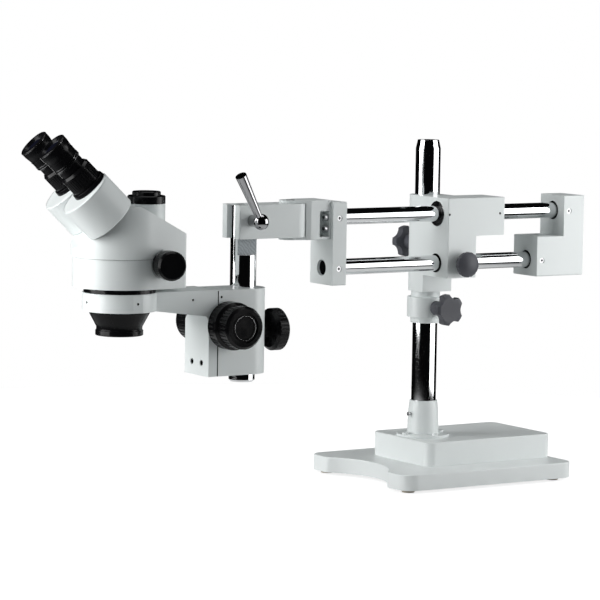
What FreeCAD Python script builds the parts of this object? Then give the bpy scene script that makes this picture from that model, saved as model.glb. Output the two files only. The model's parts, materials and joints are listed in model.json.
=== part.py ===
import FreeCAD, Part
import math
import os

import Sketcher
from FreeCAD import Placement, Rotation, Vector

# Boom stand stereo microscope.
# Millimetres. +Z is up and z = 0 is the table. -X runs along the boom towards the microscope,
# and -Y is the side of the rods. Each piece is built round the pillar's axis, and then all move
# together, so that the origin is under the middle of the whole.

SIZES = {
    # From the origin to the pillar's axis
    "origin_x": 202.725,
    "origin_y": 13.25,
    # Fits
    "running_fit": 0.05,
    "screw_fit": 0.1,
    "face_gap": 0.2,
    # Base
    "foot_height": 4.0,
    "foot_radius": 9.0,
    "foot_inset_front": 17.0,
    "foot_inset_rear": 23.0,
    "foot_inset_side": 20.0,
    "plate_thick": 20.0,
    "plate_front": 103.0,
    "plate_rear": 163.0,
    "plate_half_width": 112.0,
    "plate_corner_radius": 20.0,
    "notch_half_width": 69.0,
    "notch_depth": 30.0,
    "leg_tip_radius": 12.0,
    "block_front": 36.0,
    "block_rear": 160.0,
    "block_half_width": 64.5,
    "block_height": 31.0,
    "block_corner_radius": 12.0,
    "casting_edge_radius": 1.6,
    # Pillar and sleeve
    "pillar_radius": 16.0,
    "pillar_length": 381.0,
    "pillar_taper_length": 11.0,
    "pillar_taper_depth": 2.4,
    "pillar_bolt_radius": 5.0,
    "pillar_bolt_depth": 22.0,
    "bolt_head_radius": 8.0,
    "bolt_head_height": 10.0,
    "flange_radius": 33.8,
    "flange_thick": 3.0,
    "sleeve_foot_radius": 20.5,
    "sleeve_shoulder_radius": 19.2,
    "sleeve_top_radius": 17.9,
    "sleeve_height": 46.0,
    "sleeve_shoulder_height": 35.0,
    "flange_screw_radius": 2.0,
    "flange_screw_head_radius": 3.8,
    "flange_screw_length": 12.0,
    "flange_screw_circle": 27.5,
    "sleeve_screw_height": 29.0,
    # Stop collar
    "collar_drop": 100.5,
    "collar_step_height": 7.4,
    "collar_step_radius": 19.0,
    "collar_ring_height": 26.0,
    "collar_ring_radius": 23.4,
    "collar_neck_height": 8.0,
    "collar_neck_radius": 18.5,
    # Star knobs
    "star_radius": 20.0,
    "star_thick": 11.0,
    "star_hollow_radius": 9.5,
    "star_hollow_circle": 24.5,
    "star_hub_radius": 9.0,
    "knob_stud_radius": 4.0,
    "collar_knob_hub": 22.0,
    "carriage_knob_hub": 16.0,
    # Carriage
    "carriage_half_width": 22.5,
    "carriage_height": 123.0,
    "carriage_foot_height": 22.0,
    "carriage_foot_front": 25.0,
    "carriage_arm_length": 66.0,
    "carriage_arm_height": 48.0,
    "carriage_knob_height": 60.0,
    "rod_radius": 10.0,
    "rod_offset": 53.0,
    "rod_spacing": 62.5,
    "upper_rod_drop": 20.5,
    "frame_half_width": 25.0,
    "rod_clearance": 1.0,
    "bearing_radius": 16.0,
    "bearing_length": 43.0,
    "grub_radius": 1.5,
    "grub_inset": 2.5,
    # Rod lock knob
    "dome_radius": 16.0,
    "dome_thick": 12.0,
    "dome_hub_radius": 8.5,
    "dome_hub": 8.0,
    "dome_ridges": 18,
    # Boom
    "boom_front": 196.0,
    "boom_rear": 193.0,
    "front_plate_thick": 20.0,
    "plate_rise": 20.0,
    "plate_drop": 20.5,
    "rear_upper_length": 32.0,
    "rear_lower_length": 74.0,
    "rear_step_drop": 31.7,
    "rod_end_wall": 5.0,
    "rod_end_recess": 2.0,
    "rod_screw_radius": 3.5,
    "rod_screw_setback": 8.5,
    # Hinge
    "hinge_reach": 47.0,
    "bracket_half_width": 20.0,
    "bracket_length": 29.0,
    "bracket_drop": 26.0,
    "bracket_rise": 22.5,
    "ear_thick": 3.5,
    "ear_radius": 14.0,
    "hinge_pin_radius": 6.0,
    "bracket_pocket_length": 16.5,
    "bracket_pocket_depth": 13.4,
    "bracket_flange": 2.0,
    "bracket_pocket_top": 13.5,
    "bracket_screw_radius": 3.0,
    "bracket_screw_head": 5.0,
    "bracket_screw_spacing": 14.0,
    "bracket_screw_depth": 6.2,
    # Swing arm and post
    "arm_half_width": 20.0,
    "arm_reach": 67.0,
    "arm_overhang": 18.5,
    "arm_slot_width": 18.0,
    "post_radius": 16.0,
    "post_length": 215.0,
    "post_flat_depth": 7.5,
    "post_flat_below_arm": 20.0,
    "post_chamfer": 2.5,
    "post_top_inset": 1.0,
    "lever_stud_radius": 5.0,
    "lever_hub_radius": 7.3,
    "lever_ball_radius": 10.0,
    "lever_ball_offset": 19.0,
    "lever_length": 69.0,
    "lever_root_radius": 4.2,
    "lever_tip_radius": 7.0,
    "lever_lean": 33.0,
    "lever_tilt": 10.0,
    # Focus holder
    "holder_top": 101.0,
    "holder_height": 104.0,
    "holder_half_width": 27.0,
    "holder_face_step": 0.6,
    "holder_face_setback": 26.5,
    "holder_front": 52.0,
    "holder_screw_setback": 5.0,
    "holder_screw_drop": 8.0,
    "holder_screw_depth": 6.0,
    "slide_gap": 0.5,
    "slide_thick": 12.0,
    "slide_height": 73.0,
    "slide_corner_radius": 10.0,
    "slide_screw_radius": 2.5,
    "slide_screw_head": 3.5,
    "slide_screw_spacing": 22.0,
    "slide_screw_height": 15.5,
    "dovetail_width": 34.0,
    "dovetail_depth": 8.0,
    "dovetail_flare": 3.0,
    "dovetail_end_gap": 6.0,
    "dovetail_fit": 0.08,
    # Focus drive
    "gear_module": 1.0,
    "pinion_teeth": 16,
    "pinion_length": 10.0,
    "rack_width": 10.0,
    "rack_body": 3.0,
    "shaft_radius": 4.0,
    "bush_radius": 7.0,
    "bush_length": 9.0,
    "drive_height": 61.8,
    "drive_setback": 38.0,
    "tension_radius": 29.0,
    "tension_length": 20.0,
    "focus_knob_radius": 26.0,
    "focus_knob_length": 20.0,
    "left_knob_length": 26.0,
    "knob_recess_radius": 18.5,
    "knob_recess_depth": 2.0,
    "knob_ridges": 34,
    "knob_ridge_depth": 1.0,
    "clamp_knob_radius": 26.0,
    "clamp_knob_length": 18.0,
    "clamp_knob_hub": 10.0,
    "clamp_knob_height": 50.5,
    # Ring arm
    "ring_reach": 172.5,
    "ring_bore_radius": 38.0,
    "ring_radius": 44.5,
    "ring_height": 22.0,
    "ring_flat_width": 13.0,
    "arm_screw_spacing": 20.0,
    "arm_screw_drop": 11.0,
    "arm_screw_reach": 14.0,
    "side_screw_setback": 87.0,
    "side_screw_depth": 8.0,
    # Head
    "head_yaw": 11.5,
    "head_flange_radius": 43.0,
    "head_flange_height": 6.5,
    "lower_body_radius": 56.5,
    "lower_body_height": 36.0,
    "upper_body_radius": 58.5,
    "upper_body_height": 61.5,
    "rear_wall": 71.5,
    "rear_half_width": 36.0,
    "rear_corner_radius": 5.0,
    "body_wall": 6.0,
    "upper_hollow_radius": 38.0,
    "upper_hollow_height": 20.0,
    "camera_bore_radius": 12.0,
    "ridge_front": 8.0,
    "ridge_rear": 8.0,
    "roof_fall": 34.0,
    "cone_top_radius": 37.8,
    "cone_height": 19.0,
    "cone_neck_radius": 27.6,
    "cone_neck_height": 4.0,
    "cone_rim_radius": 28.6,
    "cone_rim_height": 6.5,
    "cone_wall": 3.0,
    "objective_thick": 7.0,
    "objective_crown": 1.5,
    # Zoom
    "zoom_knob_radius": 17.3,
    "zoom_knob_length": 27.3,
    "zoom_setback": 40.0,
    "zoom_height": 29.5,
    "zoom_shaft_radius": 4.0,
    "zoom_seat": 48.5,
    "zoom_seat_radius": 18.3,
    # Camera tube
    "camera_setback": 32.3,
    "camera_tube_radius": 22.5,
    "camera_tube_top": 98.5,
    "camera_cap_radius": 22.7,
    "camera_cap_height": 9.5,
    "camera_plug_radius": 17.1,
    "camera_plug_height": 5.0,
    # Binocular tubes
    "tube_tilt": 45.0,
    "tube_spacing": 71.0,
    "tube_foot": 24.0,
    "prism_radius": 33.0,
    "prism_height": 46.0,
    "prism_wall": 3.0,
    "prism_plate_thick": 3.0,
    "prism_face": 18.0,
    "spigot_length": 6.0,
    "light_radius": 9.0,
    "swivel_offset": 9.4,
    "swivel_radius": 14.0,
    "eye_offset": 9.7,
    "eyetube_radius": 21.5,
    "eyetube_height": 5.0,
    "eyetube_bore": 15.0,
    "diopter_radius": 19.7,
    "diopter_height": 24.0,
    "diopter_ridges": 36,
    "eyepiece_waist": 16.5,
    "eyepiece_radius": 19.2,
    "eyepiece_height": 38.5,
    "eyecup_height": 7.0,
    "eye_lens_radius": 12.0,
}

document = FreeCAD.newDocument("boom_stand_microscope")
sheet = document.addObject("Spreadsheet::Sheet", "sizes")
for row, (alias, number) in enumerate(SIZES.items(), start=1):
    sheet.set(f"A{row}", alias)
    sheet.set(f"B{row}", str(number))
    sheet.setAlias(f"B{row}", alias)
document.recompute()


class Size:
    """A length held both as a number and as a formula of the sheet's cells."""

    def __init__(self, number, formula):
        self.number = number
        self.formula = formula

    def __add__(self, other):
        other = as_size(other)
        return Size(self.number + other.number, f"({self.formula} + {other.formula})")

    def __sub__(self, other):
        other = as_size(other)
        return Size(self.number - other.number, f"({self.formula} - {other.formula})")

    def __mul__(self, other):
        other = as_size(other)
        return Size(self.number * other.number, f"({self.formula} * {other.formula})")

    def __truediv__(self, other):
        other = as_size(other)
        return Size(self.number / other.number, f"({self.formula} / {other.formula})")

    def __neg__(self):
        return Size(-self.number, f"(0 - {self.formula})")

    __radd__ = __add__
    __rmul__ = __mul__

    def __rsub__(self, other):
        return as_size(other) - self

    def __float__(self):
        return float(self.number)


def as_size(value):
    if isinstance(value, Size):
        return value
    return Size(float(value), f"({float(value)})")


def size(name):
    return Size(float(SIZES[name]), f"sizes.{name}")


def root_of(value):
    value = as_size(value)
    return Size(math.sqrt(value.number), f"sqrt({value.formula})")


def bind(target, path, value):
    """Tie a property of an object to the sheet."""
    target.setExpression(path, as_size(value).formula)


def at(x, y, z, rotation=None):
    return Placement(Vector(float(x), float(y), float(z)), rotation or Rotation())


def pointing(direction):
    """The rotation that turns a piece's own Z axis to a direction."""
    return Rotation(Vector(0, 0, 1), Vector(*direction))


# Sketches


def new_body(label, placement=None):
    body = document.addObject("PartDesign::Body", label)
    body.Label = label
    if placement:
        body.Placement = placement
    return body


def new_sketch(body, plane, offset=0):
    """A sketch on one of the body's own planes, moved along the plane's normal."""
    sketch = body.newObject("Sketcher::SketchObject", body.Label + "_sketch")
    face = [item for item in body.Origin.OriginFeatures if item.Role == plane][0]
    sketch.AttachmentSupport = [(face, "")]
    sketch.MapMode = "FlatFace"
    bind(sketch, "AttachmentOffset.Base.z", offset)
    return sketch


def pin_point(sketch, geometry, position, x, y):
    """Hold a point of the sketch at two coordinates."""
    for kind, value in (("DistanceX", x), ("DistanceY", y)):
        value = as_size(value)
        index = sketch.addConstraint(Sketcher.Constraint(kind, -1, 1, geometry, position, value.number))
        bind(sketch, f"Constraints[{index}]", value)


def arc_between(start, end, axis, value, turn):
    """The arc from start to end whose centre has the given x or y."""
    middle = (start + end) * 0.5
    along = Vector(start.y - end.y, end.x - start.x, 0)
    reach = (value - getattr(middle, axis)) / getattr(along, axis)
    centre = middle + along * reach
    first, last = (start, end) if turn > 0 else (end, start)
    angles = [math.atan2(point.y - centre.y, point.x - centre.x) for point in (first, last)]
    circle = Part.Circle(centre, Vector(0, 0, 1), (start - centre).Length)
    return Part.ArcOfCircle(circle, angles[0], angles[1])


def draw_outline(sketch, corners, arcs=None):
    """A closed outline. arcs gives, for a side's number, its centre's axis and value, and its turn."""
    arcs = arcs or {}
    points = [Vector(float(x), float(y), 0) for x, y in corners]
    count = len(corners)
    first = sketch.GeometryCount
    ends = []
    for side in range(count):
        start, end = points[side], points[(side + 1) % count]
        if side in arcs:
            axis, value, turn = arcs[side]
            sketch.addGeometry(arc_between(start, end, axis, float(value), turn))
            ends.append((1, 2) if turn > 0 else (2, 1))
        else:
            sketch.addGeometry(Part.LineSegment(start, end))
            ends.append((1, 2))
    for side in range(count):
        after = (side + 1) % count
        joint = Sketcher.Constraint("Coincident", first + side, ends[side][1], first + after, ends[after][0])
        sketch.addConstraint(joint)
    for side, (x, y) in enumerate(corners):
        pin_point(sketch, first + side, ends[side][0], x, y)
    for side, (axis, value, turn) in arcs.items():
        kind = "DistanceX" if axis == "x" else "DistanceY"
        rule = Sketcher.Constraint(kind, -1, 1, first + side, 3, float(value))
        bind(sketch, f"Constraints[{sketch.addConstraint(rule)}]", value)


def draw_rectangle(sketch, x_low, x_high, y_low, y_high):
    draw_outline(sketch, [(x_low, y_low), (x_high, y_low), (x_high, y_high), (x_low, y_high)])


def draw_circle(sketch, x, y, radius):
    geometry = sketch.addGeometry(
        Part.Circle(Vector(float(x), float(y), 0), Vector(0, 0, 1), float(radius)))
    pin_point(sketch, geometry, 3, x, y)
    index = sketch.addConstraint(Sketcher.Constraint("Radius", geometry, float(radius)))
    bind(sketch, f"Constraints[{index}]", radius)


# Features


def pad(body, sketch, length):
    feature = body.newObject("PartDesign::Pad", body.Label + "_pad")
    feature.Profile = sketch
    bind(feature, "Length", length)
    return feature


def pocket(body, sketch, length, along_normal=True):
    """Cut a sketch out of the body, along the sketch's normal or against it."""
    feature = body.newObject("PartDesign::Pocket", body.Label + "_pocket")
    feature.Profile = sketch
    feature.Reversed = along_normal
    bind(feature, "Length", length)
    return feature


def pattern(body, feature, count, axis="Z_Axis"):
    """Repeat a feature evenly round one of the body's own axes."""
    ring = body.newObject("PartDesign::PolarPattern", body.Label + "_pattern")
    ring.Originals = [feature]
    line = [item for item in body.Origin.OriginFeatures if item.Role == axis][0]
    ring.Axis = (line, [""])
    ring.Angle = 360
    bind(ring, "Occurrences", count)
    body.Tip = ring
    return ring


def dress(body, kind, edges, amount):
    """Round or chamfer edges of the body as it stands."""
    base = body.Tip
    feature = body.newObject("PartDesign::" + kind, body.Label + "_" + kind.lower())
    feature.Base = (base, edges)
    bind(feature, "Radius" if kind == "Fillet" else "Size", amount)
    return feature


def find_edges(body, test):
    """Names of the body's edges whose box passes a test."""
    document.recompute()
    edges = body.Tip.Shape.Edges
    return [f"Edge{number}" for number, edge in enumerate(edges, start=1) if test(edge.BoundBox)]


def standing(box, low, high):
    """True for a vertical edge that fills the heights from low to high."""
    slack = 0.01
    flat = box.XLength < slack and box.YLength < slack
    return flat and abs(box.ZMin - float(low)) < slack and abs(box.ZMax - float(high)) < slack


def level(box, height):
    slack = 0.01
    return box.ZLength < slack and abs(box.ZMin - float(height)) < slack


def turned(label, profile, placement, arcs=None):
    """A piece turned about its own Z axis from corners of radius and height."""
    body = new_body(label, placement)
    add_turned(body, profile, arcs)
    return body


def add_turned(body, profile, arcs=None):
    sketch = new_sketch(body, "XZ_Plane")
    draw_outline(sketch, profile, arcs)
    feature = body.newObject("PartDesign::Revolution", body.Label + "_turning")
    feature.Profile = sketch
    feature.ReferenceAxis = (sketch, ["V_Axis"])
    feature.Angle = 360
    return feature


def cross_hole(body, plane, x, y, radius, start, length, along_normal=True):
    """A round hole through a plane of the body, from start on, for length."""
    sketch = new_sketch(body, plane, start)
    draw_circle(sketch, x, y, radius)
    return pocket(body, sketch, length, along_normal)


def hex_socket(body, radius, top, depth):
    """A hexagon socket sunk into the top of a screw."""
    sketch = new_sketch(body, "XY_Plane", top)
    sine = math.sqrt(3) / 2
    corners = [(1, 0), (0.5, sine), (-0.5, sine), (-1, 0), (-0.5, -sine), (0.5, -sine)]
    draw_outline(sketch, [(radius * x, radius * y) for x, y in corners])
    return pocket(body, sketch, depth, along_normal=False)


def group(label, pieces):
    """Several equal solids kept as one sub-part."""
    compound = document.addObject("Part::Compound", label)
    compound.Label = label
    compound.Links = pieces
    return compound


# Levels and places shared by several pieces

ZERO = as_size(0)
fit = size("running_fit")
screw_fit = size("screw_fit")

block_top = size("foot_height") + size("plate_thick") + size("block_height")
sleeve_top = block_top + size("sleeve_height")
collar_bottom = sleeve_top + size("collar_drop")
ring_bottom = collar_bottom + size("collar_step_height")
ring_top = ring_bottom + size("collar_ring_height")
collar_top = ring_top + size("collar_neck_height")
collar_knob_level = ring_bottom + size("collar_ring_height") / 2
carriage_top = collar_top + size("carriage_height")
upper_rod_level = carriage_top - size("upper_rod_drop")
lower_rod_level = upper_rod_level - size("rod_spacing")
rod_y = -size("rod_offset")
frame_front = rod_y - size("frame_half_width")
frame_back = rod_y + size("frame_half_width")
frame_bottom = lower_rod_level - size("plate_drop")
frame_top = upper_rod_level + size("plate_rise")
front_plate_back = size("front_plate_thick") - size("boom_front")
pin_x = -size("boom_front") - size("hinge_reach")
bracket_bottom = upper_rod_level - size("bracket_drop")
bracket_top = upper_rod_level + size("bracket_rise")
arm_bottom = bracket_bottom + size("ear_thick") + size("face_gap")
arm_top = bracket_top - size("ear_thick") - size("face_gap")
post_x = pin_x - size("arm_reach")
post_top = arm_top - size("post_top_inset")
post_bottom = post_top - size("post_length")
holder_top = arm_top - size("holder_top")
holder_bottom = holder_top - size("holder_height")
holder_side = size("holder_half_width")
holder_front = post_x - size("holder_front")
slide_back = holder_front - size("slide_gap")
slide_front = slide_back - size("slide_thick")
dovetail_bottom = holder_bottom + size("dovetail_end_gap")
dovetail_length = size("holder_height") - size("dovetail_end_gap") * 2
drive_x = post_x - size("drive_setback")
drive_level = holder_bottom + size("drive_height")
ring_x = post_x - size("ring_reach")
ring_top_level = holder_top + 1
ring_bottom_level = ring_top_level - size("ring_height")
head_yaw = Rotation(Vector(0, 0, 1), -SIZES["head_yaw"])
head_place = at(ring_x, rod_y, 0, head_yaw)
body_bottom = ring_top_level + size("head_flange_height")
seam_level = body_bottom + size("lower_body_height")
upper_top = seam_level + size("upper_body_height")


# Base


def make_base_casting():
    body = new_body("base_casting")
    bottom = size("foot_height")
    plate_top = bottom + size("plate_thick")
    front, rear, side = -size("plate_front"), size("plate_rear"), size("plate_half_width")
    notch, depth = size("notch_half_width"), size("notch_depth")
    # The notch is an arc through its two corners and its deepest point.
    centre = front + depth - (notch * notch + depth * depth) / (depth * 2)
    sketch = new_sketch(body, "XY_Plane", bottom)
    corners = [(front, -notch), (front, -side), (rear, -side), (rear, side), (front, side), (front, notch)]
    draw_outline(sketch, corners, {5: ("x", centre, -1)})
    pad(body, sketch, size("plate_thick"))
    corner_edges = find_edges(body, lambda box: standing(box, bottom, plate_top)
                              and abs(abs(box.YMin) - float(side)) < 0.01)
    dress(body, "Fillet", corner_edges, size("plate_corner_radius"))
    tip_edges = find_edges(body, lambda box: standing(box, bottom, plate_top)
                           and abs(abs(box.YMin) - float(notch)) < 0.01)
    dress(body, "Fillet", tip_edges, size("leg_tip_radius"))
    dress(body, "Fillet", find_edges(body, lambda box: level(box, plate_top)), size("casting_edge_radius"))
    sketch = new_sketch(body, "XY_Plane", plate_top)
    half = size("block_half_width")
    draw_rectangle(sketch, -size("block_front"), size("block_rear"), -half, half)
    pad(body, sketch, size("block_height"))
    block_edges = find_edges(body, lambda box: standing(box, plate_top, block_top))
    dress(body, "Fillet", block_edges, size("block_corner_radius"))
    dress(body, "Fillet", find_edges(body, lambda box: level(box, block_top)), size("casting_edge_radius"))
    # The pillar's bolt comes up from below, and the flange's screws come down from above.
    cross_hole(body, "XY_Plane", 0, 0, size("pillar_bolt_radius") + screw_fit, bottom, block_top)
    head_room = size("bolt_head_height") + size("plate_thick") / 2
    cross_hole(body, "XY_Plane", 0, 0, size("bolt_head_radius") + 0.5, bottom, head_room)
    hole = cross_hole(body, "XY_Plane", size("flange_screw_circle"), 0,
                      size("flange_screw_radius") + screw_fit,
                      block_top, size("flange_screw_length"), along_normal=False)
    pattern(body, hole, 4)
    return body


def make_rubber_feet():
    feet = []
    front = size("foot_inset_front") - size("plate_front")
    rear = size("plate_rear") - size("foot_inset_rear")
    side = size("plate_half_width") - size("foot_inset_side")
    radius, height = size("foot_radius"), size("foot_height")
    for number, (x, y) in enumerate([(front, -side), (rear, -side), (rear, side), (front, side)]):
        profile = [(0, 0), (radius - 1, 0), (radius, height), (0, height)]
        feet.append(turned(f"foot_{number}", profile, at(x, y, 0)))
    return group("rubber_feet", feet)


def make_pillar():
    radius, taper = size("pillar_radius"), size("pillar_taper_length")
    top, inner = size("pillar_length"), size("pillar_bolt_radius") + screw_fit
    depth = size("pillar_bolt_depth")
    profile = [(inner, 0), (radius, 0), (radius, top - taper), (radius - size("pillar_taper_depth"), top),
               (0, top), (0, depth), (inner, depth)]
    return turned("pillar", profile, at(0, 0, block_top))


def make_pillar_bolt():
    head, shank = size("bolt_head_radius"), size("pillar_bolt_radius")
    seat = size("foot_height") + size("bolt_head_height") + size("plate_thick") / 2
    low = seat - size("bolt_head_height")
    high = block_top + size("pillar_bolt_depth") - 1
    profile = [(0, low), (head, low), (head, seat), (shank, seat), (shank, high), (0, high)]
    body = turned("pillar_bolt", profile, at(0, 0, 0))
    sketch = new_sketch(body, "XY_Plane", low)
    draw_circle(sketch, 0, 0, head / 2)
    pocket(body, sketch, size("bolt_head_height") / 2)
    return body


def make_pillar_sleeve():
    bore = size("pillar_radius") + fit
    flange, thick = size("flange_radius"), size("flange_thick")
    shoulder, top = size("sleeve_shoulder_height"), size("sleeve_height")
    profile = [(bore, 0), (flange, 0), (flange, thick), (size("sleeve_foot_radius"), thick),
               (size("sleeve_shoulder_radius"), shoulder), (size("sleeve_top_radius"), top), (bore, top)]
    body = turned("pillar_sleeve", profile, at(0, 0, block_top))
    circle, shank = size("flange_screw_circle"), size("flange_screw_radius") + screw_fit
    hole = cross_hole(body, "XY_Plane", circle, 0, shank, 0, thick)
    pattern(body, hole, 4)
    cross_hole(body, "YZ_Plane", 0, size("sleeve_screw_height"), size("grub_radius") + screw_fit,
               -size("sleeve_foot_radius"), size("sleeve_foot_radius") - bore + 1)
    return body


def make_screws(label, places, shank, length, head, head_height, socket=0.55):
    """Equal socket screws. Each stands on its head's seat, with its shank down its own -Z."""
    screws = []
    for number, place in enumerate(places):
        profile = [(0, -length), (shank, -length), (shank, 0), (head, 0), (head, head_height),
                   (0, head_height)]
        screw = turned(f"{label}_{number}", profile, place)
        hex_socket(screw, head * socket, head_height, head_height * 0.6)
        screws.append(screw)
    return group(label, screws)


def make_grubs(label, places, radius, length):
    """Equal headless screws. Each has its outer end at its place and reaches down its own -Z."""
    grubs = []
    for number, place in enumerate(places):
        grub = turned(f"{label}_{number}", [(0, -length), (radius, -length), (radius, 0), (0, 0)], place)
        hex_socket(grub, radius * 0.55, ZERO, length * 0.4)
        grubs.append(grub)
    return group(label, grubs)


def make_flange_screws():
    circle = float(size("flange_screw_circle"))
    seat = block_top + size("flange_thick")
    places = [at(circle * math.cos(turn), circle * math.sin(turn), seat)
              for turn in (0, math.pi / 2, math.pi, -math.pi / 2)]
    head = size("flange_screw_head_radius")
    return make_screws("flange_screws", places, size("flange_screw_radius"),
                       size("flange_screw_length") - 1 + size("flange_thick"), head, head * 0.6)


def make_sleeve_screw():
    reach = size("sleeve_foot_radius") + 2
    length = reach - size("pillar_radius") - size("face_gap")
    place = at(-reach, 0, block_top + size("sleeve_screw_height"), pointing((-1, 0, 0)))
    return make_screws("sleeve_screw", [place], size("grub_radius"), length, size("grub_radius") * 1.8,
                       size("grub_radius"))


# Stop collar and star knobs


def make_stop_collar():
    bore = size("pillar_radius") + fit
    step, ring, top = ring_bottom - collar_bottom, ring_top - collar_bottom, collar_top - collar_bottom
    profile = [(bore, 0), (size("collar_step_radius"), 0), (size("collar_step_radius"), step),
               (size("collar_ring_radius"), step), (size("collar_ring_radius"), ring),
               (size("collar_neck_radius"), ring), (size("collar_neck_radius"), top), (bore, top)]
    body = turned("stop_collar", profile, at(0, 0, collar_bottom))
    level_here = collar_knob_level - collar_bottom
    cross_hole(body, "XZ_Plane", 0, level_here, size("knob_stud_radius") + screw_fit, 0,
               size("collar_ring_radius") + 1, along_normal=True)
    return body


def make_star_knob(label, place, hub, stud):
    """A five-lobed knob. Its hub starts at the place, and its stud reaches back down its own -Z."""
    radius, thick = size("star_radius"), size("star_thick")
    hub_radius, stud_radius = size("star_hub_radius"), size("knob_stud_radius")
    top = hub + thick
    profile = [(0, -stud), (stud_radius, -stud), (stud_radius, 0), (hub_radius, 0), (hub_radius, hub),
               (radius, hub), (radius, top - 1.5), (radius - 4, top), (0, top)]
    body = turned(label, profile, place)
    sketch = new_sketch(body, "XY_Plane", hub)
    draw_circle(sketch, size("star_hollow_circle"), 0, size("star_hollow_radius"))
    pattern(body, pocket(body, sketch, thick), 5)
    return body


def make_collar_knob():
    seat = size("collar_ring_radius") + size("face_gap")
    stud = seat - size("pillar_radius") - size("face_gap")
    place = at(0, -seat, collar_knob_level, pointing((0, -1, 0)))
    return make_star_knob("collar_knob", place, size("collar_knob_hub"), stud)


def make_carriage_knob():
    seat = size("carriage_half_width") + size("face_gap")
    stud = seat - size("pillar_radius") - size("face_gap")
    place = at(0, seat, collar_top + size("carriage_knob_height"), pointing((0, 1, 0)))
    return make_star_knob("carriage_knob", place, size("carriage_knob_hub"), stud)


# Carriage


def make_carriage():
    body = new_body("carriage", at(0, 0, collar_top))
    half, height, foot = size("carriage_half_width"), size("carriage_height"), size("carriage_foot_height")
    lower, upper = lower_rod_level - collar_top, upper_rod_level - collar_top
    sketch = new_sketch(body, "XY_Plane")
    corners = [(-half, -size("carriage_foot_front")), (half, -size("carriage_foot_front")), (half, 0),
               (-half, 0)]
    draw_outline(sketch, corners, {2: ("y", ZERO, 1)})
    pad(body, sketch, height)
    sketch = new_sketch(body, "XY_Plane", foot)
    draw_rectangle(sketch, -half, half, frame_front, -size("carriage_foot_front"))
    pad(body, sketch, height - foot)
    sketch = new_sketch(body, "XY_Plane", height - size("carriage_arm_height"))
    draw_rectangle(sketch, half, size("carriage_arm_length"), frame_front, frame_back)
    pad(body, sketch, size("carriage_arm_height"))
    front_edges = find_edges(body, lambda box: box.XLength < 0.01 and box.YLength < 0.01
                             and abs(box.YMin - float(frame_front)) < 0.01)
    dress(body, "Fillet", front_edges, size("casting_edge_radius"))
    bore = size("pillar_radius") + fit
    cross_hole(body, "XY_Plane", 0, 0, bore, 0, height)
    cross_hole(body, "YZ_Plane", rod_y, upper, size("bearing_radius") + fit, -half,
               half + size("carriage_arm_length"))
    cross_hole(body, "YZ_Plane", rod_y, lower, size("rod_radius") + size("rod_clearance"), -half, half * 2)
    stud = size("knob_stud_radius") + screw_fit
    cross_hole(body, "XZ_Plane", 0, lower, stud, -rod_y, size("frame_half_width"))
    cross_hole(body, "XZ_Plane", 0, size("carriage_knob_height"), stud, -half - 1, half, along_normal=True)
    for x in bearing_screw_places():
        cross_hole(body, "XZ_Plane", x, upper, size("grub_radius") + screw_fit, -rod_y,
                   size("frame_half_width"))
    return body


def bearing_screw_places():
    inset = size("grub_inset")
    return [inset - size("carriage_half_width"), size("carriage_arm_length") - inset * 3]


def make_bearing_screws():
    outer = size("frame_half_width") - 0.6
    length = outer - size("bearing_radius") - size("face_gap")
    places = [at(x, rod_y - outer, upper_rod_level, pointing((0, -1, 0))) for x in bearing_screw_places()]
    return make_grubs("bearing_screws", places, size("grub_radius"), length)


def make_linear_bearings():
    """Two ball bushings stand end to end in the carriage's upper bore, each with a groove near both ends."""
    outer, inner = size("bearing_radius"), size("rod_radius") + fit
    length, groove = size("bearing_length"), 1.0
    starts = [-size("carriage_half_width"), size("carriage_arm_length") - length]
    bushings = []
    for number, start in enumerate(starts):
        profile = [(inner, 0), (outer, 0), (outer, 5), (outer - groove, 5), (outer - groove, 7), (outer, 7),
                   (outer, length - 7), (outer - groove, length - 7), (outer - groove, length - 5),
                   (outer, length - 5), (outer, length), (inner, length)]
        place = at(start, rod_y, upper_rod_level, pointing((1, 0, 0)))
        bushings.append(turned(f"bushing_{number}", profile, place))
    return group("linear_bearings", bushings)


def make_rod_lock_knob():
    seat = size("frame_half_width") + size("face_gap")
    stud = seat - size("rod_radius") - size("face_gap")
    hub, radius, thick = size("dome_hub"), size("dome_radius"), size("dome_thick")
    shank = size("knob_stud_radius")
    profile = [(0, -stud), (shank, -stud), (shank, 0), (size("dome_hub_radius"), 0),
               (size("dome_hub_radius"), hub),
               (radius - 1, hub), (radius, hub + 2), (radius, hub + thick / 2), (0, hub + thick)]
    # The face is a dome whose centre lies on the knob's axis.
    rise = thick / 2
    centre = hub + thick - (radius * radius + rise * rise) / (rise * 2)
    place = at(0, rod_y - seat, lower_rod_level, pointing((0, -1, 0)))
    body = turned("rod_lock_knob", profile, place, {7: ("y", centre, 1)})
    sketch = new_sketch(body, "XY_Plane", hub)
    draw_circle(sketch, radius + 1.6, 0, 2.4)
    pattern(body, pocket(body, sketch, thick), size("dome_ridges"))
    return body


# Boom


def make_boom_rods():
    start = size("rod_end_recess") - size("boom_front")
    length = size("boom_rear") - size("rod_end_wall") - start - 1
    radius = size("rod_radius")
    rods = []
    for number, height in enumerate((lower_rod_level, upper_rod_level)):
        profile = [(0, 0), (radius - 1, 0), (radius, 1), (radius, length - 1), (radius - 1, length),
                   (0, length)]
        rods.append(turned(f"rod_{number}", profile, at(start, rod_y, height, pointing((1, 0, 0)))))
    return group("boom_rods", rods)


def frame_edges(body):
    """The long corners of a rod plate that run along X."""
    return find_edges(body, lambda box: box.YLength < 0.01 and box.ZLength < 0.01 and box.XLength > 1)


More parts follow.
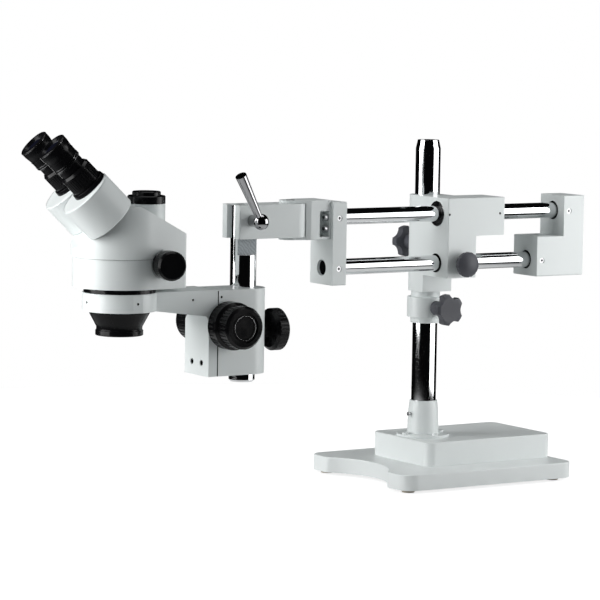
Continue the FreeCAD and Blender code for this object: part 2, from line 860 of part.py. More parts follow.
def make_front_rod_plate():
    body = new_body("front_rod_plate")
    sketch = new_sketch(body, "YZ_Plane", -size("boom_front"))
    draw_rectangle(sketch, frame_front, frame_back, frame_bottom, frame_top)
    pad(body, sketch, size("front_plate_thick"))
    dress(body, "Fillet", frame_edges(body), size("casting_edge_radius"))
    for height in (lower_rod_level, upper_rod_level):
        cross_hole(body, "YZ_Plane", rod_y, height, size("rod_radius") + fit, -size("boom_front"),
                   size("front_plate_thick"))
        cross_hole(body, "XZ_Plane", front_plate_back - size("front_plate_thick") / 2, height,
                   size("rod_screw_radius") + screw_fit, -rod_y, size("frame_half_width"))
    for side in (1, -1):
        for drop in bracket_screw_drops():
            cross_hole(body, "YZ_Plane", rod_y + bracket_screw_side() * side,
                       upper_rod_level + size("bracket_rise")
                       - drop, size("bracket_screw_radius") + screw_fit, -size("boom_front"),
                       size("bracket_screw_depth"))
    return body


def make_rear_rod_block():
    body = new_body("rear_rod_block")
    rear = size("boom_rear")
    upper_front, lower_front = rear - size("rear_upper_length"), rear - size("rear_lower_length")
    step = upper_rod_level - size("rear_step_drop")
    sketch = new_sketch(body, "XZ_Plane", -frame_back)
    draw_outline(sketch, [(lower_front, frame_bottom), (rear, frame_bottom), (rear, frame_top),
                          (upper_front, frame_top), (upper_front, step), (lower_front, step)])
    pad(body, sketch, size("frame_half_width") * 2)
    dress(body, "Fillet", frame_edges(body), size("casting_edge_radius"))
    for height, front in ((lower_rod_level, lower_front), (upper_rod_level, upper_front)):
        cross_hole(body, "YZ_Plane", rod_y, height, size("rod_radius") + fit, front,
                   rear - front - size("rod_end_wall"))
        cross_hole(body, "YZ_Plane", rod_y, height, size("rod_radius") + 2, front, 2)
        cross_hole(body, "XZ_Plane", front + size("rod_screw_setback"), height,
                   size("rod_screw_radius") + screw_fit, -rod_y, size("frame_half_width"))
    return body


def make_rod_set_screws():
    rear = size("boom_rear")
    front_x = front_plate_back - size("front_plate_thick") / 2
    spots = [(front_x, lower_rod_level), (front_x, upper_rod_level),
             (rear - size("rear_lower_length") + size("rod_screw_setback"), lower_rod_level),
             (rear - size("rear_upper_length") + size("rod_screw_setback"), upper_rod_level)]
    outer = size("frame_half_width") - 1
    places = [at(x, rod_y - outer, z, pointing((0, -1, 0))) for x, z in spots]
    return make_grubs("rod_set_screws", places, size("rod_screw_radius"),
                      outer - size("rod_radius") - size("face_gap"))


# Hinge


def bracket_screw_side():
    return size("bracket_half_width") - size("bracket_pocket_depth") / 2


def bracket_screw_drops():
    first = size("bracket_pocket_top") + size("bracket_screw_head") + 3
    return [first, first + size("bracket_screw_spacing")]


def make_hinge_bracket():
    body = new_body("hinge_bracket")
    back, half = -size("boom_front"), size("bracket_half_width")
    front = back - size("bracket_length")
    height = bracket_top - bracket_bottom
    sketch = new_sketch(body, "XY_Plane", bracket_bottom)
    ear = size("ear_radius")
    # The ear's round end runs straight back to the bracket's full width.
    draw_outline(sketch, [(pin_x, rod_y - ear), (front, rod_y - half), (back, rod_y - half),
                          (back, rod_y + half),
                          (front, rod_y + half), (pin_x, rod_y + ear)], {5: ("x", pin_x, 1)})
    pad(body, sketch, height)
    sketch = new_sketch(body, "XY_Plane", bracket_bottom + size("ear_thick"))
    draw_circle(sketch, pin_x, rod_y, size("arm_half_width") + 1)
    pocket(body, sketch, height - size("ear_thick") * 2)
    cross_hole(body, "XY_Plane", pin_x, rod_y, size("hinge_pin_radius") + fit, bracket_bottom, height)
    depth = size("bracket_pocket_depth")
    floor = back - size("bracket_flange")
    for low, high in ((rod_y - half - 1, rod_y - half + depth), (rod_y + half - depth, rod_y + half + 1)):
        sketch = new_sketch(body, "XY_Plane", bracket_bottom + size("ear_thick"))
        draw_rectangle(sketch, floor - size("bracket_pocket_length") + size("bracket_flange"), floor, low,
                       high)
        pocket(body, sketch, height - size("ear_thick") - size("bracket_pocket_top"))
    for side in (1, -1):
        for drop in bracket_screw_drops():
            cross_hole(body, "YZ_Plane", rod_y + bracket_screw_side() * side, bracket_top - drop,
                       size("bracket_screw_radius") + screw_fit, floor - 1, size("bracket_flange") + 1)
    return body


def make_bracket_screws():
    seat = -size("boom_front") - size("bracket_flange")
    places = []
    for side in (1, -1):
        for drop in bracket_screw_drops():
            places.append(at(seat, rod_y + bracket_screw_side() * side, bracket_top - drop,
                             pointing((-1, 0, 0))))
    length = size("bracket_flange") + size("bracket_screw_depth") - 1
    return make_screws("bracket_screws", places, size("bracket_screw_radius"), length,
                       size("bracket_screw_head"),
                       size("bracket_screw_head"))


def make_hinge_pin():
    radius = size("hinge_pin_radius")
    height = bracket_top - bracket_bottom
    profile = [(0, 0), (radius - 0.5, 0), (radius, 0.5), (radius, height - 0.5), (radius - 0.5, height),
               (0, height)]
    return turned("hinge_pin", profile, at(pin_x, rod_y, bracket_bottom))


# Swing arm, post and clamp lever


def make_swing_arm():
    body = new_body("swing_arm")
    half = size("arm_half_width")
    end = post_x - size("arm_overhang")
    height = arm_top - arm_bottom
    sketch = new_sketch(body, "XY_Plane", arm_bottom)
    draw_outline(sketch, [(end, rod_y - half), (pin_x, rod_y - half), (pin_x, rod_y + half),
                          (end, rod_y + half)],
                 {1: ("x", pin_x, 1)})
    pad(body, sketch, height)
    end_edges = find_edges(body, lambda box: standing(box, arm_bottom, arm_top)
                           and abs(box.XMin - float(end)) < 0.01)
    dress(body, "Fillet", end_edges, size("casting_edge_radius"))
    cross_hole(body, "XY_Plane", pin_x, rod_y, size("hinge_pin_radius") + fit, arm_bottom, height)
    cross_hole(body, "XY_Plane", post_x, rod_y, size("post_radius") + fit, arm_bottom, height)
    slot = size("arm_slot_width") / 2
    sketch = new_sketch(body, "XY_Plane", arm_bottom)
    draw_rectangle(sketch, end - 1, post_x, rod_y - slot, rod_y + slot)
    pocket(body, sketch, height)
    cross_hole(body, "XZ_Plane", post_x, upper_rod_level, size("lever_stud_radius") + screw_fit, -rod_y,
               half + 1)
    return body


def make_post():
    radius, length, chamfer = size("post_radius"), size("post_length"), size("post_chamfer")
    profile = [(0, 0), (radius - chamfer, 0), (radius, chamfer), (radius, length), (0, length)]
    body = turned("post", profile, at(post_x, rod_y, post_bottom))
    flat_bottom = arm_bottom - size("post_flat_below_arm") - post_bottom
    sketch = new_sketch(body, "XY_Plane", flat_bottom)
    draw_rectangle(sketch, -radius, radius, -radius - 1, size("post_flat_depth") - radius)
    pocket(body, sketch, length - flat_bottom - 3)
    return body


def make_clamp_lever():
    """Ball lever on a threaded stud. The lever leans up and outward from the ball."""
    seat = size("arm_half_width") + size("face_gap")
    flat = size("post_radius") - size("post_flat_depth")
    ball = size("lever_ball_offset") + seat
    profile = [(0, flat + size("face_gap")), (size("lever_stud_radius"), flat + size("face_gap")),
               (size("lever_stud_radius"), seat), (size("lever_hub_radius"), seat),
               (size("lever_hub_radius"), ball - 4), (0, ball - 4)]
    hub = turned("lever_stud", profile, at(0, 0, 0))
    globe = document.addObject("Part::Sphere", "lever_ball")
    bind(globe, "Radius", size("lever_ball_radius"))
    bind(globe, "Placement.Base.z", ball)
    rod = document.addObject("Part::Cone", "lever_rod")
    bind(rod, "Radius1", size("lever_root_radius"))
    bind(rod, "Radius2", size("lever_tip_radius"))
    bind(rod, "Height", size("lever_length"))
    lean, tilt = math.radians(SIZES["lever_lean"]), math.radians(SIZES["lever_tilt"])
    # Seen along the stud, the lever's own X is -X of the arm and its own Y is up.
    direction = Vector(-math.sin(lean) * math.cos(tilt), math.cos(lean) * math.cos(tilt), math.sin(tilt))
    rod.Placement = Placement(Vector(0, 0, float(ball)), Rotation(Vector(0, 0, 1), direction))
    lever = document.addObject("Part::MultiFuse", "clamp_lever")
    lever.Label = "clamp_lever"
    lever.Shapes = [hub, globe, rod]
    lever.Placement = at(post_x, rod_y, upper_rod_level, Rotation(Vector(1, 0, 0), 90))
    return lever


# Focus holder and drive


def dovetail(body, plane_z, spare):
    """The dovetail's section across Y, from the slide's back towards the post, as a sketch."""
    width, flare, depth = size("dovetail_width") / 2 + spare, size("dovetail_flare"), size("dovetail_depth")
    sketch = new_sketch(body, "XY_Plane", plane_z)
    start, end = slide_back, slide_back + depth + spare
    draw_outline(sketch, [(start, rod_y - width + flare), (end, rod_y - width), (end, rod_y + width),
                          (start, rod_y + width - flare)])
    return sketch


def make_focus_holder():
    body = new_body("focus_holder")
    half = size("holder_half_width")
    height = size("holder_height")
    face = post_x - size("holder_face_setback")
    step = size("holder_face_step")
    sketch = new_sketch(body, "XY_Plane", holder_bottom)
    draw_outline(sketch, [(face, rod_y - half), (post_x, rod_y - half), (post_x, rod_y + half),
                          (face, rod_y + half)],
                 {1: ("x", post_x, 1)})
    pad(body, sketch, height)
    sketch = new_sketch(body, "XY_Plane", holder_bottom)
    draw_rectangle(sketch, holder_front, face, rod_y - half - step, rod_y + half + step)
    pad(body, sketch, height)
    cross_hole(body, "XY_Plane", post_x, rod_y, size("post_radius") + fit, holder_bottom, height)
    pocket(body, dovetail(body, holder_bottom, size("dovetail_fit")), height)
    wide = half * 2 + step * 2
    near = -rod_y - half - step
    cross_hole(body, "XZ_Plane", drive_x, drive_level, size("shaft_radius") + 0.5, near, wide)
    for start in (near, near + wide - size("bush_length")):
        cross_hole(body, "XZ_Plane", drive_x, drive_level, size("bush_radius") + fit, start,
                   size("bush_length"))
    room = size("gear_module") * (size("pinion_teeth") + 3) / 2
    cross_hole(body, "XZ_Plane", drive_x, drive_level, room, -rod_y - size("pinion_length") / 2 - 0.5,
               size("pinion_length") + 1)
    cross_hole(body, "YZ_Plane", rod_y, holder_bottom + size("clamp_knob_height"),
               size("knob_stud_radius") + screw_fit, post_x, half + 1)
    depth = size("holder_screw_depth")
    cross_hole(body, "XZ_Plane", holder_front + size("holder_screw_setback"),
               holder_top - size("holder_screw_drop"), size("grub_radius") + screw_fit,
               -rod_y + half - depth, depth + step * 2)
    return body


def make_holder_screw():
    outer = size("holder_half_width") + size("holder_face_step") - 0.5
    place = at(holder_front + size("holder_screw_setback"), rod_y - outer,
               holder_top - size("holder_screw_drop"), pointing((0, -1, 0)))
    return make_grubs("holder_screw", [place], size("grub_radius"), size("holder_screw_depth") - 1)


def ridged(body, radius, low, length):
    """Shallow grooves all round a knob's rim."""
    sketch = new_sketch(body, "XY_Plane", low)
    depth = size("knob_ridge_depth")
    draw_circle(sketch, radius + depth / 2, 0, depth * 1.2)
    pattern(body, pocket(body, sketch, length), size("knob_ridges"))


def make_clamp_knob():
    half, hub = size("holder_half_width"), size("clamp_knob_hub")
    seat = half + size("face_gap")
    start = size("post_radius") + size("face_gap")
    radius, length, stud = size("clamp_knob_radius"), size("clamp_knob_length"), size("knob_stud_radius")
    low = seat + hub
    profile = [(0, start), (stud, start), (stud, seat), (9, seat), (9, low), (radius - 4, low),
               (radius, low + 3.5),
               (radius, low + length - 3.5), (radius - 4, low + length), (0, low + length)]
    place = at(post_x, rod_y, holder_bottom + size("clamp_knob_height"), pointing((1, 0, 0)))
    body = turned("holder_clamp_knob", profile, place)
    ridged(body, radius, low + 2, length - 4)
    return body


def make_focus_bushes():
    """Two bronze bushes carry the pinion's shaft in the holder's sides."""
    outer = size("holder_half_width") + size("holder_face_step")
    length = size("bush_length")
    profile = [(size("shaft_radius") + fit, 0), (size("bush_radius"), 0), (size("bush_radius"), length),
               (size("shaft_radius") + fit, length)]
    bushes = []
    for number, start in enumerate((-outer, outer - length)):
        place = at(drive_x, rod_y + start, drive_level, pointing((0, 1, 0)))
        bushes.append(turned(f"bush_{number}", profile, place))
    return group("focus_bushes", bushes)


def gear_outline(module, teeth, backlash):
    """The outline of an involute gear with 20 degree flanks, one tooth centred on +X."""
    pitch, outer, root = module * teeth / 2, module * (teeth / 2 + 1), module * (teeth / 2 - 1.25)
    pressure = math.radians(20)
    base = pitch * math.cos(pressure)
    half_tooth = math.pi / (2 * teeth) - backlash / (2 * pitch) + math.tan(pressure) - pressure
    reach = math.sqrt((outer / base) ** 2 - 1)
    flank = []
    for step in range(6):
        roll = reach * step / 5
        radius = base * math.sqrt(1 + roll * roll)
        flank.append((radius, half_tooth - (roll - math.atan(roll))))
    spots = []
    for tooth in range(teeth):
        turn = 2 * math.pi * tooth / teeth
        lower = [(root, -half_tooth)] + [(radius, -angle) for radius, angle in flank]
        upper = [(radius, angle) for radius, angle in reversed(flank)] + [(root, half_tooth)]
        spots += [Vector(radius * math.cos(turn + angle), radius * math.sin(turn + angle), 0)
                  for radius, angle in lower + upper]
    return spots


def solid_from(spots, along):
    return Part.Face(Part.makePolygon(spots + spots[:1])).extrude(along)


def make_pinion_shaft():
    """The shaft with its pinion, one tooth's gap turned to the rack."""
    module, teeth = SIZES["gear_module"], int(SIZES["pinion_teeth"])
    length = SIZES["pinion_length"]
    gear = solid_from(gear_outline(module, teeth, 0.15), Vector(0, 0, length))
    gear.translate(Vector(0, 0, -length / 2))
    gear.rotate(Vector(0, 0, 0), Vector(0, 0, 1), 180 / teeth if (teeth // 2) % 2 == 0 else 0)
    near = float(right_knob_end()) - SIZES["knob_recess_depth"] - 6
    far = float(left_knob_end()) - SIZES["knob_recess_depth"] - 6
    shaft = Part.makeCylinder(SIZES["shaft_radius"], near + far, Vector(0, 0, -far))
    feature = document.addObject("Part::Feature", "pinion_shaft")
    feature.Label = "pinion_shaft"
    feature.Shape = gear.fuse(shaft).removeSplitter()
    feature.Placement = at(drive_x, rod_y, drive_level, Rotation(Vector(1, 0, 0), 90))
    return feature


def right_knob_end():
    outer = size("holder_half_width") + size("holder_face_step")
    return outer + size("tension_length") + size("focus_knob_length") + size("face_gap") * 2


def left_knob_end():
    return size("holder_half_width") + size("holder_face_step") + size("left_knob_length") + size("face_gap")


def make_tension_collar():
    outer = size("holder_half_width") + size("holder_face_step")
    radius, length = size("tension_radius"), size("tension_length")
    inner = size("shaft_radius") + 0.5
    profile = [(inner, 0), (radius - 1, 0), (radius, 1), (radius, length - 3), (radius - 3, length),
               (inner, length)]
    place = at(drive_x, rod_y - outer - size("face_gap"), drive_level, pointing((0, -1, 0)))
    body = turned("tension_collar", profile, place)
    ridged(body, radius, as_size(2), length / 2)
    return body


def make_focus_knob(label, start, end, direction):
    """A dished knob on the pinion's shaft, from start to end along the shaft."""
    radius, recess, dish = size("focus_knob_radius"), size("knob_recess_radius"), size("knob_recess_depth")
    bore, length = size("shaft_radius") + fit, end - start
    profile = [(bore, 0), (radius - 1, 0), (radius, 1), (radius, length - 3), (radius - 3, length),
               (recess, length), (recess, length - dish), (0, length - dish), (0, length - dish - 5),
               (bore, length - dish - 5)]
    place = at(drive_x, rod_y + start * direction, drive_level, pointing((0, direction, 0)))
    body = turned(label, profile, place)
    ridged(body, radius, as_size(2), length - 7)
    return body


def make_focus_knobs():
    outer = size("holder_half_width") + size("holder_face_step")
    right_start = outer + size("tension_length") + size("face_gap") * 2
    right = make_focus_knob("right_focus_knob", right_start, right_knob_end(), -1)
    left = make_focus_knob("left_focus_knob", outer + size("face_gap"), left_knob_end(), 1)
    return [right, left]


# Slide and ring arm


def rack_line():
    """The rack's pitch line, which touches the pinion's pitch circle."""
    return drive_x - size("gear_module") * size("pinion_teeth") / 2


def make_dovetail_rail():
    body = new_body("dovetail_rail")
    pad(body, dovetail(body, dovetail_bottom, ZERO), dovetail_length)
    sketch = new_sketch(body, "XY_Plane", dovetail_bottom)
    wide = size("rack_width") / 2 + fit
    start = rack_line() - size("gear_module") * 1.25 - size("rack_body")
    draw_rectangle(sketch, start, slide_back + size("dovetail_depth") + 1, rod_y - wide, rod_y + wide)
    pocket(body, sketch, dovetail_length)
    for side in (1, -1):
        cross_hole(body, "YZ_Plane", rod_y + size("slide_screw_spacing") * side / 2, slide_screw_level(),
                   size("slide_screw_radius") + screw_fit, slide_back, size("dovetail_depth") - 1)
        add_counterbore(body, rod_y + size("arm_screw_spacing") * side / 2)
    return body


def add_counterbore(body, y):
    """A hole through the rail at the arm's screws, opened for their heads on the post's side."""
    level_here, sunk = arm_screw_level(), size("slide_screw_head") + 1
    seat = size("dovetail_depth") - sunk
    cross_hole(body, "YZ_Plane", y, level_here, size("slide_screw_radius") + screw_fit, slide_back, seat)
    cross_hole(body, "YZ_Plane", y, level_here, size("slide_screw_head") + screw_fit, slide_back + seat,
               sunk)


def slide_screw_level():
    return holder_bottom + size("slide_screw_height")


def make_focus_rack():
    """The rack lies in the rail's channel, its teeth on the pinion's side."""
    module, teeth_pitch = SIZES["gear_module"], math.pi * SIZES["gear_module"]
    line = float(rack_line())
    back = line - 1.25 * module - SIZES["rack_body"]
    low = float(dovetail_bottom)
    high = low + float(dovetail_length)
    slope = math.tan(math.radians(20))
    half_tooth = teeth_pitch / 4 - 0.075
    centre = float(drive_level)
    first = math.ceil((low + teeth_pitch / 2 - centre) / teeth_pitch)
    last = math.floor((high - teeth_pitch / 2 - centre) / teeth_pitch)
    spots = [(back, low), (line - 1.25 * module, low)]
    for number in range(first, last + 1):
        middle = centre + number * teeth_pitch
        foot, tip = half_tooth + slope * 1.25 * module, half_tooth - slope * module
        spots += [(line - 1.25 * module, middle - foot), (line + module, middle - tip),
                  (line + module, middle + tip), (line - 1.25 * module, middle + foot)]
    spots += [(line - 1.25 * module, high), (back, high)]
    width = SIZES["rack_width"]
    points = [Vector(x, float(rod_y) - width / 2, z) for x, z in spots]
    feature = document.addObject("Part::Feature", "focus_rack")
    feature.Label = "focus_rack"
    feature.Shape = solid_from(points, Vector(0, width, 0))
    return feature


def make_focus_slide():
    """The plate that carries the rail, with its top corners rounded under the ring arm."""
    body = new_body("focus_slide")
    half = size("holder_half_width") + size("holder_face_step")
    sketch = new_sketch(body, "YZ_Plane", slide_front)
    draw_rectangle(sketch, rod_y - half, rod_y + half, holder_bottom, holder_bottom + size("slide_height"))
    pad(body, sketch, size("slide_thick"))
    top = holder_bottom + size("slide_height")
    corners = find_edges(body, lambda box: box.YLength < 0.01 and box.ZLength < 0.01 and box.XLength > 1
                         and abs(box.ZMin - float(top)) < 0.01)
    dress(body, "Fillet", corners, size("slide_corner_radius"))
    for side in (1, -1):
        y = rod_y + size("slide_screw_spacing") * side / 2
        shank, head = size("slide_screw_radius") + screw_fit, size("slide_screw_head") + screw_fit
        cross_hole(body, "YZ_Plane", y, slide_screw_level(), shank, slide_front, size("slide_thick"))
        cross_hole(body, "YZ_Plane", y, slide_screw_level(), head, slide_front, size("slide_screw_head") + 1)
    return body


def make_slide_screws():
    """Two screws reach from the plate into the rail, and two from the rail's top into the ring arm."""
    sunk = size("slide_screw_head") + 1
    seat = slide_front + sunk
    rail_seat = slide_back + size("dovetail_depth") - sunk
    places = []
    for side in (1, -1):
        places.append(at(seat, rod_y + size("slide_screw_spacing") * side / 2, slide_screw_level(),
                         pointing((-1, 0, 0))))
        places.append(at(rail_seat, rod_y + size("arm_screw_spacing") * side / 2, arm_screw_level(),
                         pointing((1, 0, 0))))
    length = slide_back - seat + size("dovetail_depth") - 2
    return make_screws("slide_screws", places, size("slide_screw_radius"), length, size("slide_screw_head"),
                       size("slide_screw_head"))


def make_ring_arm():
    body = new_body("ring_arm")
    half = size("holder_half_width") + size("holder_face_step")
    low = holder_bottom + size("slide_height")
    ring, bore = size("ring_radius"), size("ring_bore_radius")
    sketch = new_sketch(body, "XY_Plane", ring_bottom_level)
    draw_circle(sketch, ring_x, rod_y, ring)
    pad(body, sketch, size("ring_height"))
    sketch = new_sketch(body, "XZ_Plane", -rod_y - half)
    start = ring_x + ring * 0.7
    draw_outline(sketch, [(start, ring_bottom_level), (slide_front, low), (slide_back, low),
                          (slide_back, ring_top_level), (start, ring_top_level)])
    pad(body, sketch, half * 2)
    cross_hole(body, "XY_Plane", ring_x, rod_y, bore + fit, low, ring_top_level - low)
    sketch = new_sketch(body, "XY_Plane", ring_bottom_level)
    chord = size("ring_flat_width") / 2
    flat = root_of(ring * ring - chord * chord)
    draw_rectangle(sketch, ring_x - chord, ring_x + chord, rod_y - ring - 1, rod_y - flat)
    pocket(body, sketch, size("ring_height"))
    shank, middle = size("grub_radius") + screw_fit, (ring_bottom_level + ring_top_level) / 2
    cross_hole(body, "XZ_Plane", ring_x, middle, shank, -rod_y + bore - 1, ring - bore + 2)
    cross_hole(body, "YZ_Plane", rod_y, middle, shank, ring_x - ring - 1, ring - bore + 2)
    cross_hole(body, "XZ_Plane", post_x - size("side_screw_setback"), middle, shank,
               -rod_y + half - size("side_screw_depth"), size("side_screw_depth") + 1)
    for side in (1, -1):
        cross_hole(body, "YZ_Plane", rod_y + size("arm_screw_spacing") * side / 2, arm_screw_level(),
                   size("slide_screw_radius") + screw_fit, slide_back - size("arm_screw_reach"),
                   size("arm_screw_reach") + 1)
    return body


def arm_screw_level():
    return holder_top - size("arm_screw_drop")


def make_ring_screws():
    """One lock screw at the ring's flat, one at its front and one in the arm's side, all headless."""
    length = size("ring_radius") - size("ring_bore_radius") - 0.8 - size("face_gap")
    middle = (ring_bottom_level + ring_top_level) / 2
    reach = size("ring_radius") - 0.8
    arm_side = size("holder_half_width") + size("holder_face_step") - 0.8
    places = [at(ring_x, rod_y - reach, middle, pointing((0, -1, 0))),
              at(ring_x - reach, rod_y, middle, pointing((-1, 0, 0))),
              at(post_x - size("side_screw_setback"), rod_y - arm_side, middle, pointing((0, -1, 0)))]
    return make_grubs("ring_screws", places, size("grub_radius"), length)


# Head


def make_head_mount():
    """The flange that lies on the ring, with the barrel that passes through it."""
    flange, high = size("head_flange_radius"), size("head_flange_height")
    barrel, bore = size("ring_bore_radius"), size("cone_neck_radius")
    low = ring_bottom_level - ring_top_level
    profile = [(bore, low), (barrel, low), (barrel, 0), (flange, 0), (flange, high), (bore, high)]
    place = Placement(head_place)
    place.Base.z = float(ring_top_level)
    return turned("head_mount", profile, place)


def make_objective_cone():
    """The black cone below the ring, open at the bottom round the objective."""
    top, neck, rim = size("cone_top_radius"), size("cone_neck_radius"), size("cone_rim_radius")
    wall, rim_high = size("cone_wall"), size("cone_rim_height")
    neck_top = rim_high + size("cone_neck_height")
    high = neck_top + size("cone_height")
    profile = [(neck - wall, 0), (rim - 0.6, 0), (rim, 0.6), (rim, rim_high - 0.6), (rim - 0.6, rim_high),
               (neck, rim_high),
               (neck, neck_top), (top, high), (neck - wall, high)]
    place = Placement(head_place)
    place.Base.z = float(ring_bottom_level - high)
    return turned("objective_cone", profile, place)


def make_objective_lens():
    """A lens with its bulging side down."""
    radius = size("cone_neck_radius") - size("cone_wall") - fit
    crown, thick = size("objective_crown"), size("objective_thick")
    profile = [(0, 0), (radius, crown), (radius, thick), (0, thick)]
    place = Placement(head_place)
    base = ring_bottom_level - size("cone_rim_height") - size("cone_neck_height") - size("cone_height")
    place.Base.z = float(base + 3)
    return turned("objective_lens", profile, place, {0: ("x", ZERO, 1)})


def head_outline(sketch, radius, rear, half):
    """Round in front of the axis, with sides that lie against the round and reach a flat rear wall."""
    reach = math.hypot(float(rear), float(half))
    turn = math.atan2(float(half), float(rear)) + math.acos(float(radius) / reach)
    x, y = radius * math.cos(turn), radius * math.sin(turn)
    draw_outline(sketch, [(x, -y), (rear, -half), (rear, half), (x, y)], {3: ("x", ZERO, 1)})


def make_head_shell(label, radius, low, high):
    body = new_body(label, head_place)
    rear, half = size("rear_wall"), size("rear_half_width")
    sketch = new_sketch(body, "XY_Plane", low)
    head_outline(sketch, radius, rear, half)
    pad(body, sketch, high - low)
    return body


def face_zoom_seats(body):
    """Sink a round flat seat for a zoom knob into each side of a head shell."""
    for along in (True, False):
        start = size("zoom_seat") if along else -size("zoom_seat")
        cross_hole(body, "XZ_Plane", size("zoom_setback"), body_bottom + size("zoom_height"),
                   size("zoom_seat_radius"), start, size("upper_body_radius"), along_normal=along)


def make_lower_head_body():
    body = make_head_shell("lower_head_body", size("lower_body_radius"), body_bottom, seam_level)
    rear = float(size("rear_wall"))
    corners = find_edges(body, lambda box: standing(box, body_bottom,
                                                    seam_level) and abs(box.XMin - rear) < 0.01)
    dress(body, "Fillet", corners, size("rear_corner_radius"))
    wall = size("body_wall")
    sketch = new_sketch(body, "XY_Plane", body_bottom + wall)
    head_outline(sketch, size("lower_body_radius") - wall, size("rear_wall") - wall,
                 size("rear_half_width") - wall)
    pocket(body, sketch, size("lower_body_height"))
    cross_hole(body, "XY_Plane", 0, 0, size("cone_neck_radius"), body_bottom, wall)
    wide = size("lower_body_radius") * 2
    cross_hole(body, "XZ_Plane", size("zoom_setback"), body_bottom + size("zoom_height"),
               size("zoom_shaft_radius") + fit, -wide / 2, wide)
    face_zoom_seats(body)
    return body


def make_upper_head_body():
    body = make_head_shell("upper_head_body", size("upper_body_radius"), seam_level, upper_top)
    rear = size("rear_wall")
    corners = find_edges(body, lambda box: standing(box, seam_level, upper_top)
                         and abs(box.XMin - float(rear)) < 0.01)
    dress(body, "Fillet", corners, size("rear_corner_radius"))
    radius, wide = size("upper_body_radius"), size("upper_body_radius") + 2
    ridge = size("ridge_front")
    # The front is cut back at 45 degrees for the tubes, and the roof falls to the rear wall.
    front_drop = radius - ridge + 4
    sketch = new_sketch(body, "XZ_Plane", -wide)
    draw_outline(sketch, [(-ridge, upper_top + 1), (-radius - 4, upper_top + 1),
                          (-radius - 4, upper_top - front_drop),
                          (-ridge, upper_top)])
    pocket(body, sketch, wide * 2)
    sketch = new_sketch(body, "XZ_Plane", -wide)
    draw_outline(sketch, [(size("ridge_rear"), upper_top), (rear + 1, upper_top - size("roof_fall")),
                          (rear + 1, upper_top + 1), (size("ridge_rear"), upper_top + 1)])
    pocket(body, sketch, wide * 2)
    face_zoom_seats(body)
    # The hollow takes the prisms and is open below, towards the zoom lenses.
    cross_hole(body, "XY_Plane", 0, 0, size("upper_hollow_radius"), seam_level, size("upper_hollow_height"))
    cross_hole(body, "XY_Plane", size("camera_setback"), 0, size("camera_bore_radius"), seam_level,
               size("upper_body_height"))
    for side in (1, -1):
        swivel_hole(body, side, size("swivel_radius") + fit, size("spigot_length") + 1)
        swivel_hole(body, side, size("light_radius"), size("spigot_length") * 5)
    return body


def swivel_hole(body, side, radius, depth):
    """A hole square to the slanted face, at a viewing tube's swivel axis."""
    drop = size("swivel_offset") * math.sin(math.radians(SIZES["tube_tilt"]))
    sketch = new_sketch(body, "XY_Plane", upper_top + size("ridge_front") - size("tube_foot") - drop)
    place = tube_place(side, -SIZES["swivel_offset"])
    sketch.AttachmentOffset = head_place.inverse().multiply(place)
    draw_circle(sketch, 0, 0, radius)
    return pocket(body, sketch, depth, along_normal=False)


def make_zoom_shaft():
    half = size("zoom_seat") + 6
    profile = [(0, -half), (size("zoom_shaft_radius"), -half), (size("zoom_shaft_radius"), half), (0, half)]
    return turned("zoom_shaft", profile, zoom_place(pointing((0, -1, 0))))


def zoom_place(rotation):
    local = at(size("zoom_setback"), 0, body_bottom + size("zoom_height"), rotation)
    return head_place.multiply(local)


def make_zoom_knobs():
    radius, length = size("zoom_knob_radius"), size("zoom_knob_length")
    seat = size("zoom_seat") + size("face_gap")
    knobs = []
    for name, side in (("right_zoom_knob", -1), ("left_zoom_knob", 1)):
        bore = size("zoom_shaft_radius") + fit
        profile = [(bore, seat), (radius - 1.5, seat), (radius - 1.5, seat + 4), (radius, seat + 5),
                   (radius, seat + length - 2), (radius - 2, seat + length), (0, seat + length),
                   (0, seat + 6.5), (bore, seat + 6.5)]
        knobs.append(turned(name, profile, zoom_place(pointing((0, side, 0)))))
    return knobs


def make_camera_tube():
    """The photo tube, its foot cut to the falling roof."""
    roof_drop = size("roof_fall") / (size("rear_wall") + 1 - size("ridge_rear"))
    radius, setback = size("camera_tube_radius"), size("camera_setback")
    top = size("camera_tube_top") + body_bottom
    body = new_body("camera_tube", head_place)
    sketch = new_sketch(body, "XY_Plane", upper_top - size("roof_fall"))
    draw_circle(sketch, setback, 0, radius)
    pad(body, sketch, top - upper_top + size("roof_fall"))
    sketch = new_sketch(body, "XZ_Plane", -radius - 1)
    near, far = setback - radius - 1, setback + radius + 1
    deep = upper_top - size("roof_fall") * 2
    draw_outline(sketch, [(near, deep), (far, deep),
                          (far, upper_top - roof_drop * (far - size("ridge_rear"))),
                          (near, upper_top - roof_drop * (near - size("ridge_rear")))])
    pocket(body, sketch, radius * 2 + 2)
    cross_hole(body, "XY_Plane", setback, 0, size("camera_bore_radius"), upper_top - size("roof_fall"),
               size("roof_fall") * 2)
    return body


def make_camera_cap():
    radius, high = size("camera_cap_radius"), size("camera_cap_height")
    plug, plug_high = size("camera_plug_radius"), size("camera_plug_height")
    profile = [(0, 0), (radius, 0), (radius, high - 1), (radius - 1, high), (plug, high),
               (plug, high + plug_high - 1),
               (plug - 1, high + plug_high), (0, high + plug_high)]
    place = head_place.multiply(at(size("camera_setback"), 0, size("camera_tube_top") + body_bottom))
    return turned("camera_cap", profile, place)


# Binocular tubes


def tube_place(side, along=0, up=0):
    """A place in a tube's own frame: its Z runs up the tube, and its X runs up the 45 degree face."""
    tilt = Rotation(Vector(0, 1, 0), -SIZES["tube_tilt"])
    foot = size("tube_foot")
    origin = at(-foot, side * SIZES["tube_spacing"] / 2, upper_top + size("ridge_front") - foot, tilt)
    return head_place.multiply(origin).multiply(at(float(along), 0, float(up)))


